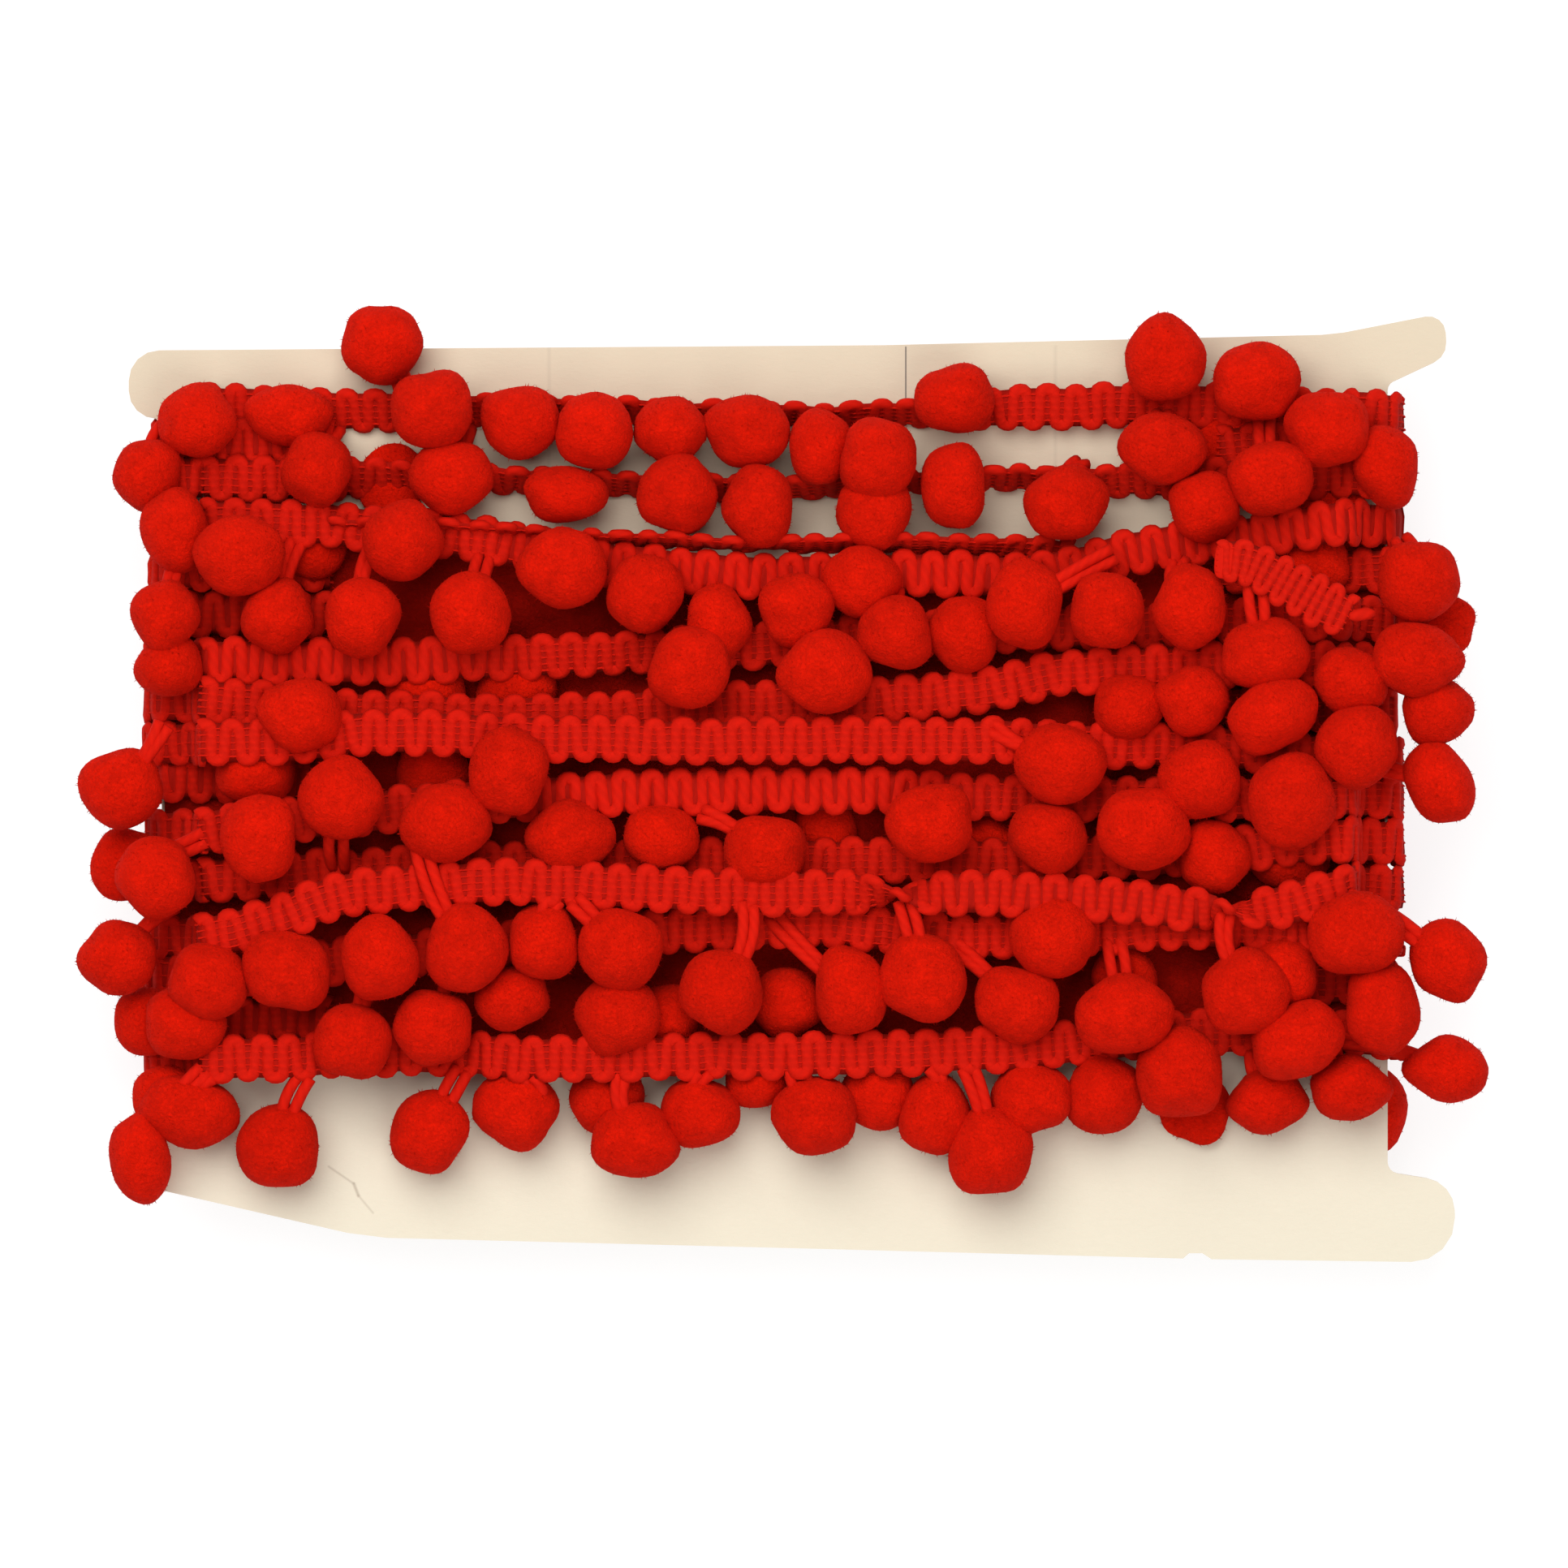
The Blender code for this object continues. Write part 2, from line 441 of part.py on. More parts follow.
def make_front_balls(dice, collection):
    """The balls read from the photo, each flattened a little where it lies on the card."""
    for i, ball in enumerate(FRONT_BALLS):
        lift = max(crown(ball.y) + (ball.level - 1) * BALL_STEP, LOWEST_BALL)
        place = Vector((ball.x, ball.y, CARD_FRONT + lift))
        size = (ball.wide * BALL_SWELL, ball.tall * BALL_SWELL, BALL * dice.uniform(*BALL_DEPTHS))
        bounds = (CARD_FRONT + CLEAR + dice.uniform(0, UNEVEN), math.inf)
        turn = ball.turn + dice.uniform(-BALL_TWIST, BALL_TWIST)
        make_ball(f"ball_{i}", place, size, turn, BALL_SIDES, bounds, collection)
        if ball.cord:
            make_cords(f"cord_{i}", nearest_braid(*ball.cord), place, collection)


def back_places():
    """Where the balls of the back hang: evenly along each back run, each run's set back by half a step."""
    runs = list(RUNS.values())
    count = int((RECESS_RIGHT - RECESS_LEFT) / BACK_PITCH)
    places = []
    for i, run in enumerate(runs):
        start_y = run[-1].y
        end_y = runs[min(i + 1, len(runs) - 1)][0].y
        for k in range(count + i % 2):
            x = RECESS_LEFT + BACK_MARGIN + (k + 0.5 - 0.5 * (i % 2)) * BACK_PITCH
            share = (RECESS_RIGHT - x) / (RECESS_RIGHT - RECESS_LEFT)
            places.append((x, start_y + (end_y - start_y) * share - BACK_DROP))
    return places


def make_back_balls(dice, collection):
    """The balls behind the card: a few bear on the floor and the others lie a little over it."""
    places = back_places()
    resting = {min(places, key=lambda p: math.dist(p, target)) for target in RESTING}
    widest = BALL * BACK_SIZES[1]
    for i, (x, y) in enumerate(places):
        if (x, y) in resting:
            place = Vector((x, y, REST_HEIGHT))
            size = (widest, widest, BALL)
        else:
            stray = Vector((dice.uniform(-BACK_STRAY, BACK_STRAY), dice.uniform(-BACK_STRAY, BACK_STRAY), 0))
            place = Vector((x, y, CARD_BACK - dice.uniform(*BACK_LIFTS))) + stray
            size = (BALL * dice.uniform(*BACK_SIZES), BALL * dice.uniform(*BACK_SIZES), BALL)
        bounds = (BELOW_FLOOR, CARD_BACK - CLEAR - dice.uniform(0, UNEVEN))
        make_ball(f"back_{i}", place, size, dice.uniform(*BACK_TURNS), BACK_BALL_SIDES, bounds, collection)
    bounds = (BELOW_FLOOR, CARD_BACK - CLEAR)
    make_ball("peeking", PEEKING, (BALL, widest, BALL), 0, BALL_SIDES, bounds, collection)
    make_cords("peeking_cord", PEEKING_ROOT, PEEKING, collection)


def applied(item):
    """Works the item's modifiers into its mesh."""
    graph = bpy.context.evaluated_depsgraph_get()
    mesh = bpy.data.meshes.new_from_object(item.evaluated_get(graph), depsgraph=graph)
    item.modifiers.clear()
    item.data = mesh


def join_all(item, others):
    """Joins everything in the helper collection to the item."""
    modifier = item.modifiers.new("join", "BOOLEAN")
    modifier.operation = "UNION"
    modifier.operand_type = "COLLECTION"
    modifier.collection = others
    applied(item)
    for helper in list(others.objects):
        bpy.data.objects.remove(helper, do_unlink=True)


def shells_of(bm):
    """The faces of each connected shell of a bmesh."""
    left = set(bm.faces)
    shells = []
    while left:
        seed = left.pop()
        shell = [seed]
        for face in shell:
            for edge in face.edges:
                for other in edge.link_faces:
                    if other in left:
                        left.remove(other)
                        shell.append(other)
        shells.append(shell)
    return sorted(shells, key=len, reverse=True)


def keep_outer_shell(item):
    """Removes the sealed pockets between the balls, which the real winding fills with more yarn."""
    bm = bmesh.new()
    bm.from_mesh(item.data)
    for shell in shells_of(bm)[1:]:
        bmesh.ops.delete(bm, geom=shell, context="FACES")
    bm.to_mesh(item.data)
    bm.free()


def soften(item):
    """Presses the joined shapes into one soft surface, drawn with no more faces than it needs."""
    remesh = item.modifiers.new("soft surface", "REMESH")
    remesh.mode = "VOXEL"
    remesh.voxel_size = GRAIN * MM
    applied(item)
    keep_outer_shell(item)
    triangles = 2 * len(item.data.polygons)
    thin = item.modifiers.new("fewer faces", "DECIMATE")
    thin.ratio = TRIANGLES_KEPT / triangles
    applied(item)


def press_flat(item):
    """Presses the resting balls flat on the floor, and the inner face clear of the card's two faces."""
    mesh = item.data
    for vert in mesh.vertices:
        x, y, z = vert.co / MM
        z = max(z, 0.0)
        over_card = RECESS_LEFT - GAP < x < RECESS_RIGHT + GAP or y > EARS_FROM
        if over_card and CARD_MIDDLE < z < CARD_FRONT + GAP:
            z = CARD_FRONT + GAP
        if over_card and CARD_BACK - GAP < z <= CARD_MIDDLE:
            z = CARD_BACK - GAP
        vert.co.z = z * MM
    mesh.update()


def shade(item, finish):
    """Gives the item its finish, smooth except at its sharp edges."""
    item.data.materials.clear()
    item.data.materials.append(finish)
    if item.type == "MESH":
        item.data.shade_smooth()
        item.data.set_sharp_from_angle(angle=SHARP_ANGLE)


def main():
    """Builds the card, the wound trim as one body, and its loose cut end."""
    clear_scene()
    dice = random.Random(SEED)
    parts = new_collection("pompom fringe trim")
    helpers = new_collection("helpers")
    cream = material("cream paperboard", CARD_COLOUR, 0.6)
    red = material("red yarn", TRIM_COLOUR, 0.9)
    shade(make_card(parts), cream)
    turns = make_turns(helpers)
    make_cores(helpers)
    make_front_balls(dice, helpers)
    make_back_balls(dice, helpers)
    trim = turns[0]
    trim.name = "wound_trim"
    helpers.objects.unlink(trim)
    parts.objects.link(trim)
    join_all(trim, helpers)
    soften(trim)
    press_flat(trim)
    shade(trim, red)
    middles = [Vector((x, y, CARD_FRONT + lift)) for x, y, lift, _ in LOOSE_END]
    widths = [wide for *_, wide in LOOSE_END]
    shade(loft("loose_end", middles, [0] * len(middles), widths, parts), red)
    bpy.data.collections.remove(helpers)


main()
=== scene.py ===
"""Looks of a ball fringe trim wound on a paperboard card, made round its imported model.

Run it as a script. Millimetres in the tables and in the shape functions, metres in the scene. Each function
that makes a shape says its formula in words.
"""

import math
import random
from collections import namedtuple

import bpy
import numpy as np
from bpy.props import FloatProperty, FloatVectorProperty, IntProperty, PointerProperty
from bpy.types import Operator, Panel, PropertyGroup
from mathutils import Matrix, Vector


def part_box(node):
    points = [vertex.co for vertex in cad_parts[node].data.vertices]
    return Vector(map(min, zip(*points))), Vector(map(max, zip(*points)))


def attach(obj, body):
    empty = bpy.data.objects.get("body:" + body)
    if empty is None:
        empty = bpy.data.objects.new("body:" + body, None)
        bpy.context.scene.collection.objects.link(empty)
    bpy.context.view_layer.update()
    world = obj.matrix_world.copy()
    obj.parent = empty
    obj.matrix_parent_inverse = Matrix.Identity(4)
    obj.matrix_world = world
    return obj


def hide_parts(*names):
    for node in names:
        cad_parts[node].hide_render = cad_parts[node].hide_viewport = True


bl_info = {
    "name": "Wound Ball Fringe",
    "version": (1, 0, 0),
    "blender": (4, 5, 0),
    "location": "3D View > Sidebar > Fringe",
    "description": "Dresses a wound length of ball fringe and its card, and sets the stage",
    "category": "Object",
}

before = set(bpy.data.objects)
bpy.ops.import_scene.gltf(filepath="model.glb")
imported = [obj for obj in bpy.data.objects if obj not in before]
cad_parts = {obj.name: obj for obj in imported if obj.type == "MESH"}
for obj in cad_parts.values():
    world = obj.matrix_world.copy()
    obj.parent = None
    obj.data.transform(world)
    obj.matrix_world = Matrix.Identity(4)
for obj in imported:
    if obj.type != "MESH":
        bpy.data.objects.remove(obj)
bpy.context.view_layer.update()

MM = 0.001
TAU = 2 * math.pi
SEED = 7

# Card faces and recessed edges
CARD_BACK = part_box("card")[0].z / MM
CARD_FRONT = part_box("card")[1].z / MM
CARD_MIDDLE = (CARD_BACK + CARD_FRONT) / 2
RECESS_LEFT = -94.0
RECESS_RIGHT = 91.2

# Braid and balls
BRAID_WIDE = 7.0
BRAID_THICK = 1.4
BRAID_STEP = 4.0
BRAID_SINK = 1.5
BALL = 12.6
BALL_STEP = 3.5
BALL_GAP = 0.45
BALL_DEPTHS = (0.96, 1.0)
BALL_TWIST = 3.0
CLEAR = 0.9
LOWEST_BALL = 5.7
UNEVEN = 0.25
REST_HEIGHT = 4.3
NO_LIMIT = 1000.0

# How far the winding stands over the card's front face, by height on the card
CROWN = ((-56, 6.3), (-45, 7.5), (-35, 10.0), (-25, 12.0), (-15, 12.8), (10, 13.0), (25, 12.0), (35, 10.5),
         (45, 9.0), (55, 7.0), (66, 6.3))

# The front run of each turn, from left to right. A level is 0 deep in the winding, 1 between and 2 on top,
# and a turn is the strip's twist in degrees about its own run. A face of 1 shows the side with the binding
# threads over its ribs, and -1 the side with clean loops.
Station = namedtuple("Station", "x y level turn face", defaults=(0, 1))
RUN_ROWS = {
    "A": ((-88, 57, .2), (-70, 56.3, .2, 20), (-45, 56.4, .3, 50), (-20, 56.2, .3, 60), (8, 55.6, .4, 62),
          (26, 56.2, .5, 50), (36, 56.8, .6, 14), (52, 57, .6, 10), (72, 57, .4, 20), (85, 56, .3)),
    "B": ((-88, 46, .2), (-70, 46, .1, 20), (-52, 46.2, .1, 55), (-30, 45.4, 0, 60), (0, 44.6, 0, 62),
          (30, 46, .2, 62), (52, 45.8, .2, 50), (70, 45.8, .2, 10), (85, 46.5, .2)),
    "C": ((-88, 39.6, .4), (-63, 38.6, .9), (-45, 36.6, 1), (-24, 33.0, 1, 0, -1), (-10, 31.5, 1, 0, -1),
          (20, 31.6, .9, 0, -1), (42, 32, 1, 0, -1), (54, 35.2, 1, 0, -1), (70, 37.2, .8, 0, -1),
          (85, 39.4, 1, 0, -1)),
    "D": ((-88, 18.4, .8, 0, -1), (-60, 18.4, .7, 0, -1), (-36, 19.2, .6, 20), (-22, 19.8, .5, 25),
          (0, 21.2, .4), (30, 23, .4), (60, 24, .4), (85, 25, .3)),
    "E": ((-88, 12.6, 1), (-66, 10.8, .7), (-40, 10, .6), (-25, 10.4, .5), (-8, 12, .4), (13, 12.5, .9),
          (30, 14.2, 1), (44, 16.8, 1), (60, 17.6, 1), (85, 18, .3)),
    "F": ((-88, 6.1, 1.9), (-76, 6.4, 2), (-60, 7.7, 1.9), (-38, 7, 1.9), (-20, 6.5, 2), (10, 6.5, 2),
          (32, 6.4, 1.9), (46, 5.8, 1.1), (60, 5.6, .8), (85, 4, .5)),
    "G": ((-88, -7.2, 1), (-70, -5, .6), (-50, -3, .6), (-33, -1.8, 1.1, 0, -1), (-10, -1.1, 1.2, 0, -1),
          (14, -1.1, 1.2, 0, -1), (32, -2, .4), (60, -2.4, .3), (85, -1.7, 1)),
    "J": ((-88, -14.5, .2), (-50, -12.5, .2), (0, -11.6, .2), (20, -11.6, .3), (60, -10.4, .3),
          (76, -9, .8), (85, -8.4, 1.2)),
    "H": ((-88, -23.2, 1.7), (-78, -21, 1.8), (-69, -17.4, 2), (-55, -15.4, 2), (-40, -14.8, 2),
          (-22, -15.6, 2), (-4, -16.4, 2), (9, -16.2, 2), (13, -16.4, 2, 35), (17, -16.6, 2, 90),
          (21, -16.5, 2, 145), (26, -16.4, 2, 180), (45, -17.1, 2, 180), (60, -18.6, 2, 180),
          (64, -18.9, 2, 215), (67, -19, 2, 270), (71, -18.9, 2, 325), (76, -18, 2, 360),
          (85, -15.4, 1.5, 360)),
    "H2": ((-88, -29, .3), (-50, -25, .3), (-15, -22, .6), (5, -21.2, 1), (28, -23, .9), (42, -22.6, .7),
          (58, -21.6, .9), (85, -22, .3)),
    "I": ((-88, -41.4, 1.9), (-74, -41.2, 1.9), (-62, -40.4, .8), (-50, -40.6, 1), (-40, -41.2, 1.9),
          (-12, -41, 2), (14, -40.6, 2), (34, -39.8, 1.7), (48, -38.6, .9), (60, -37.6, .3),
          (85, -37.8, .4)),
}
RUNS = {name: [Station(*row) for row in rows] for name, rows in RUN_ROWS.items()}

# Strips that show for only a part of their run, standing on edge between two turns
BURIED = (
    ((-68, 38.6, .5, 60), (-50, 38.4, .9, 72), (-26, 37, 1, 76), (0, 36.2, 1, 76), (18, 36.2, .9, 70),
     (32, 35.6, .6, 60), (44, 33.4, -.1, 20)),
)

# Each turn's far end is slimmer and a little lower, so that it lies inside the start of the next
SLIMMING = 0.07
NEST = (1.5, 0.0, -0.2)

# The wrap round a card edge: how far past the edge and over the card's middle each station lies
WRAP = ((-4.0, 5.6), (0.4, 3.8), (2.2, 0.0), (0.4, -3.8), (-4.0, -5.6))
BACK_STATIONS = (-60, 0, 60)

# The balls that show in front. A ball with a cord gives the place on a braid that the cord comes from, and
# where it lies over another braid also how high over the card it starts.
Ball = namedtuple("Ball", "x y level wide tall turn cord", defaults=(0, None))
FRONT_BALLS = [Ball(*row) for row in (
    (-60.8, 66.3, 1, 12.5, 12, 0, (-57, 58)), (-88.8, 54.6, 1, 12.5, 11), (-74.5, 55.6, .6, 13.6, 10),
    (-53, 56.5, 2, 12.5, 13), (-96, 46.5, .4, 11, 11.4), (-79.5, 46.6, .2, 11, 10.5),
    (-70.3, 47.2, 1, 11, 12), (-50, 46.2, 1, 12.5, 11), (-59.4, 46, 0, 11.5, 11),
    (-91.3, 38, 1, 10.5, 13, 15), (-81.8, 34.2, 2, 13.8, 12.4), (-71.5, 36, 0, 11, 11),
    (-57, 36.4, 2, 12.3, 12.2), (-93, 25.5, 1.4, 10.5, 11), (-92.6, 18, .6, 10, 10),
    (-76, 24.8, 1, 11, 11), (-63.5, 25, 2, 11.8, 12.5), (-47, 25.5, 2, 12, 12.7),
    (-40, 54.5, 1, 12.5, 11), (-28.6, 53.2, 1.4, 11.8, 12), (-17.2, 53.2, 1, 11, 10.5),
    (-5.5, 53, 1.3, 13, 11), (-33, 43.6, .8, 13.3, 9), (-16, 43.5, 1.2, 12.5, 12, 45),
    (-4, 41.5, 1.2, 10.8, 13), (-33.3, 32.4, 2, 13.2, 12.2), (-20.8, 28.6, 1.5, 12, 11.5, 30),
    (-10, 24.2, 1, 10, 11.5), (2, 26, 1.5, 11.6, 11.6), (-14, 17.5, 2, 12, 13, -30),
    (5.3, 50.8, 1, 10, 11.5), (14, 48.8, 2, 12, 13), (13.5, 41, 1.1, 11.5, 11.5),
    (25.8, 57.8, 1.2, 12.2, 10.5), (25.6, 44.8, 1.2, 10.4, 13.5),
    (42.4, 42.2, 1.2, 12.7, 11.6, 0, (45, 48.5)), (57, 64, 1.6, 12.7, 13, 0, (56, 58)),
    (57, 50.2, 1.6, 13.5, 11, 0, (57, 56)), (11.7, 30.4, 1.1, 12, 11), (16.5, 22.3, 1.4, 11.4, 12, 25),
    (27, 22.3, .6, 11, 12), (36, 27, 2, 11.3, 14, 0, (49.5, 34.5, 13.5)), (48.6, 26, 2, 11.8, 13),
    (61, 26.4, 1.8, 11.2, 12.6), (71.3, 60.6, 1.7, 13.2, 11.7, 0, (71, 57)), (81.5, 53.3, 2, 13.5, 11.5),
    (67.5, 51, .2, 11, 11), (73, 46, 2, 13, 11.7, 0, (72.6, 56)), (63.2, 41.6, 1.2, 11.5, 10.6),
    (82.5, 43.4, .2, 10, 9.6), (90.5, 47.5, 1, 10, 13, 10), (79.5, 33, .2, 12.5, 9.6),
    (95.2, 30.4, 1.8, 12.5, 12), (72, 19.6, 1.9, 14, 11, 0, (70.6, 32, 17)), (98.5, 24, .2, 11.4, 10),
    (95, 18.7, 1.8, 14, 11),
    (-72.3, 10.3, 2, 13, 11.5), (-79.5, 2, .1, 12, 11.6), (-78.5, -8.2, 2, 12, 13.5),
    (-66.3, -2.3, 2, 12.5, 13, 0, (-67, -13)), (-99.7, -.7, .6, 12.5, 12, 0, (-93, 9)),
    (-99.4, -12, .1, 11, 11.4, 0, (-87, -8)), (-94.5, -14, 1.6, 12, 12.3), (-40.3, 14.6, .3, 12.5, 10),
    (6.2, 16.7, 2, 14, 13), (-41.3, 2, 2, 12.5, 14), (-50.7, -5.8, 1.8, 13.5, 12),
    (-32, -8.2, 1, 12.8, 11), (-18.5, -8, .6, 11.5, 10), (-2.8, -10.4, .9, 13, 11.5, 0, (-12.5, -4.5)),
    (41.7, 3.3, 1.8, 13.7, 12.5, 0, (31, 8.7)), (52, 11.6, .4, 11, 10), (61.3, 12.5, 1.2, 11, 10.5),
    (21.7, -5.8, 1.7, 13.3, 12), (39.5, -8, 1.2, 12.3, 11), (54.2, -6.7, 1.8, 14.2, 12.7),
    (30, -11, .3, 12, 11), (73.6, 10.4, 2, 14.6, 10.8, 25), (85, 15.4, 1.2, 11, 10.5),
    (86, 5.6, 2, 12.5, 12.5), (98, 11, .7, 11, 10.4), (98.6, 0, 1, 9.6, 13, 25, (89, 3)),
    (62.4, .6, 1.5, 12.3, 11.8), (76.3, -2.6, 2, 13.7, 14.2), (64.5, -11, .6, 11, 11),
    (76, -10.6, .3, 12, 10.5),
    (-100.2, -26, .8, 11.6, 11.4, 0, (-92, -18)), (-95.6, -35.6, .1, 11, 10.8),
    (-86.6, -29.7, 1.6, 11.8, 11.6), (-90, -35.8, 1, 12.6, 11.6), (-74.4, -28, 1.8, 13.8, 13.8),
    (-60.9, -26.2, 2, 11.6, 13, 20), (-65, -38.7, 2, 12.4, 12.2), (-52.8, -36.6, 1.7, 11.8, 11.6),
    (-48, -24.8, 2, 12.4, 13.2, 0, (-54.5, -9.5, 15.5)), (-36, -23.6, 1.4, 11, 12, 20),
    (-41, -32.2, .8, 11.6, 10), (-24.5, -24.6, 1.8, 13, 12.4, 0, (-31.5, -17.5)),
    (-25.3, -34.8, 1.5, 13, 12), (-9.4, -31.4, 2, 13, 13.2, 0, (-5.5, -18)),
    (9.7, -31.2, 1.5, 11.6, 13.4, 0, (-2, -19.5)), (20.9, -29.2, 2, 13.2, 13, -40, (18, -17.5)),
    (35, -33.1, 1.5, 13.6, 11.4, 0, (25, -24)), (40.5, -23.2, 1.3, 13, 11.8),
    (51.2, -34.5, 1.9, 14.9, 11.6, 0, (49.4, -23)), (69.3, -31.2, 1.9, 13.6, 13.2, 0, (66.5, -19)),
    (74.8, -28.5, .4, 11, 11), (77, -38.7, 2, 14.7, 11.6, 25), (85.6, -22.4, 1.8, 13.7, 12.6),
    (89.7, -33.8, 1.4, 10.8, 14, 0, (84, -23)), (100, -27, .8, 11.2, 13.2, 20, (84, -17)),
    (100.1, -42.9, .5, 12, 10.2, 0, (84, -38.5)),
    (-89.6, -49.2, 1, 15, 10.8, -12), (-97, -56.4, 1, 9, 13.8, 5, (-87, -43)),
    (-76, -54.8, 1, 12.9, 12.9, 0, (-72, -44)), (-53.4, -52.6, 1, 12.9, 13.1, 0, (-48.4, -43)),
    (-40.5, -49, .5, 13.4, 12), (-27, -47.4, .2, 11.5, 10.8),
    (-22.4, -53.6, 1.6, 14, 11.4, 0, (-24, -43)), (-12.7, -49.5, 1, 12.2, 11.2),
    (4.8, -49.9, 1.5, 12.8, 11.6, 0, (1.5, -42.5)), (14, -46.8, .3, 11, 10.8), (22.7, -49.7, 1, 11, 12.2),
    (31, -55.5, 1.6, 13, 13.2, 0, (27.6, -42.6)), (37.2, -47.4, 1, 12.6, 11.6), (48.3, -47, .6, 12, 12),
    (59.8, -43.6, 2, 13.2, 13.4, 0, (55, -38)), (62, -48.9, .2, 11, 10.8),
    (72.8, -47.6, .5, 12.6, 10, 12), (85.3, -46, 1, 12.4, 10, 0, (82, -39)),
)]

# Balls deep in the winding, which only darken the gaps between the others
DEEP_BALLS = [Ball(*row) for row in (
    (6, -7, .2, 10, 10), (-54, 14, .1, 12, 10), (-53, 2, .1, 11, 11), (-19, -13.5, .1, 10, 10),
    (-93.2, -47.5, .3, 10.5, 10.5), (-4, -44, .2, 10, 10), (51.5, -29, .2, 10, 10),
    (0.5, -33, -.3, 11, 11), (-18, -35, .2, 10, 10),
)]

# The back is hidden: its balls hang evenly from each run, and one in each of these places bears on the floor
BACK_BRAID_LIFT = 6.0
BACK_BRAID_STEP = 2.5
BACK_PITCH = 22.0
BACK_MARGIN = 4.0
BACK_DROP = 6.5
BACK_LIFTS = (9.0, 12.0)
BACK_STRAY = 2.0
BACK_SIZES = (0.96, 1.06)
BACK_TURNS = (0.0, 50.0)
RESTING = ((-70, 48), (0, 50), (70, 46), (-74, 2), (-24, -4), (28, 4), (76, 0), (-66, -42), (4, -44),
           (70, -42))

# The one ball of the back that shows from the front, past the card's right edge, and where its cord starts
PEEKING = (88.4, -49.4, CARD_BACK - 7.2)
PEEKING_ROOT = (82.0, -40.0, CARD_BACK - 7.0)

# The loose cut end of the strip: its middle line, how high it lies over the card, and its width
LOOSE_END = ((64.8, 33.6, 18.2, 5.8), (69, 33.2, 18.6, 7.2), (75, 30.2, 18.8, 8.0), (81, 26.8, 18.6, 8.6),
             (85.6, 24.6, 18.2, 6.6))
LOOSE_LEG = 1.5
LOOSE_SAMPLES = 12
LOOSE_SIDES = 10
LOOSE_THREADS = 5
LOOSE_THREAD_SAMPLES = 8

# The strip's middle line: its step, and the long waves by which it wanders across, outwards and in roll
STRIP_STEP = 0.35
WANDER_WAVES = (31.0, 19.0, 12.0, 8.0)
WANDER_REACH = (0.5, 1.0)
WANDER_ROLL = 14

# The gimp cord that goes to and fro across the braid, and how far its legs stray
LEG = 2.125
LOOP_REACH = 2.72
LOOP_SQUARE = 1.35
CORD_HALF_WIDE = 1.06
CORD_HALF_THICK = 0.72
REACH_STRAY = 0.03
LEG_STRAY = 0.09
LIFT_STRAY = 0.07
LEG_SHORT = 0.3
CORD_TONES = (0.3, 0.7)

# The threads that bind the cord, and the web between its legs
THREAD_REACH = 2.05
THREAD_HALF = 0.22
THREAD_SIDES = 3
FRONT_THREAD_SAMPLES = 4
BACK_THREAD_SAMPLES = 3
THREAD_LEAST = 6.0
THREAD_LIFT = 0.34
THREAD_WAVE = 0.06
THREAD_FACE = -0.9
WEB_HALF_WIDE = 2.9
WEB_HALF_THICK = 0.42
WEB_SHORT = 0.5
WEB_SIDES = 6

# The pair of cords that a ball hangs from, the arch that they make and how far they stray
BALL_CORD_HALF = 0.88
BALL_CORD_STEPS = 11
BALL_CORD_SIDES = 8
BALL_CORDS_APART = 1.75
BALL_CORD_IN = 0.35
ARCH_LIFT = 0.8
ARCH_RISE = 0.05
ARCH_ASIDE = 1.5
SPREAD_STRAY = 0.3
HEIGHT_STRAY = 0.1

# Where a ball's cord starts if that is hidden: the furthest strip above it, and the shift along and down it
OWN_ROOT_REACH = 16
OWN_ROOT_SHRINK = 0.97
OWN_ROOT_ASIDE = 0.5
OWN_ROOT_IN = 1
BACK_ROOT_IN = 2

# Felt of a ball: its lumps and dents, corners, ripple and the way it is drawn out to its cord
LUMPS = 9
LUMP_AMOUNTS = (-0.11, 0.075)
LUMP_TIGHTNESS = (2.5, 9.0)
FELT_SWELL = 0.012
CORNERS = ((2, 0.02), (3, 0.035), (4, 0.035), (5, 0.03))
CORNER_SHARES = (0.3, 1.0)
RIPPLE = 0.018
RIPPLE_WAVES = (4, 11)
RIPPLE_START = 6
DRAWN = 0.05
DRAWN_POINT = 6
BALL_TONES = (0.2, 0.8)
PRESSED_LEVEL = 0.35
UNDER_BRAID = 0.5

# Raised fibres of the felt: how they lean, their lengths as shares and how deep they are rooted
FIBRE_LEAN = 0.55
FIBRE_SHARES = (0.35, 1.0)
FIBRE_SHORTNESS = 1.5
FIBRE_ROOT = 0.12

# Beds of inner balls: their gap to the card, how far below the winding's crown they lie, and how low
BED_GAP = 0.4
BED_THICK = 0.2
BED_BELOW_CROWN = 15.8
BED_FLOOR = 8.7
BED_SHORT = 0.5
BED_EDGES = (18, 8)
BED_PITCH = 10.5
BED_ROW_SHARE = 0.8
BED_STRAY = 1.6
BED_COLUMNS = 120
BED_ROWS = 56
BACK_BED = (-44.0, 51.0)
FRONT_BED_IN = 1
HEAP_RADIUS = 6.3
RIM_WAVES = ((1.5, 41.0, 0.0), (0.9, 17.0, 1.0), (0.6, 8.0, 2.5))

# Inner turns that show round the card's edges: each edge, the way out from it and the turns' heights
EDGE_TURNS = ((RECESS_LEFT, -1, (51.5, 32.5, 25.5, 0.5, -35.5)),
              (RECESS_RIGHT, 1, (50.8, 32.2, 11.2, -30.0)))
EDGE_RISE = ((26, 3.0), (16, 3.6), (6, 2.6))
EDGE_WRAP = ((0.3, 2.6), (1.0, 0.0), (0.3, -2.6))

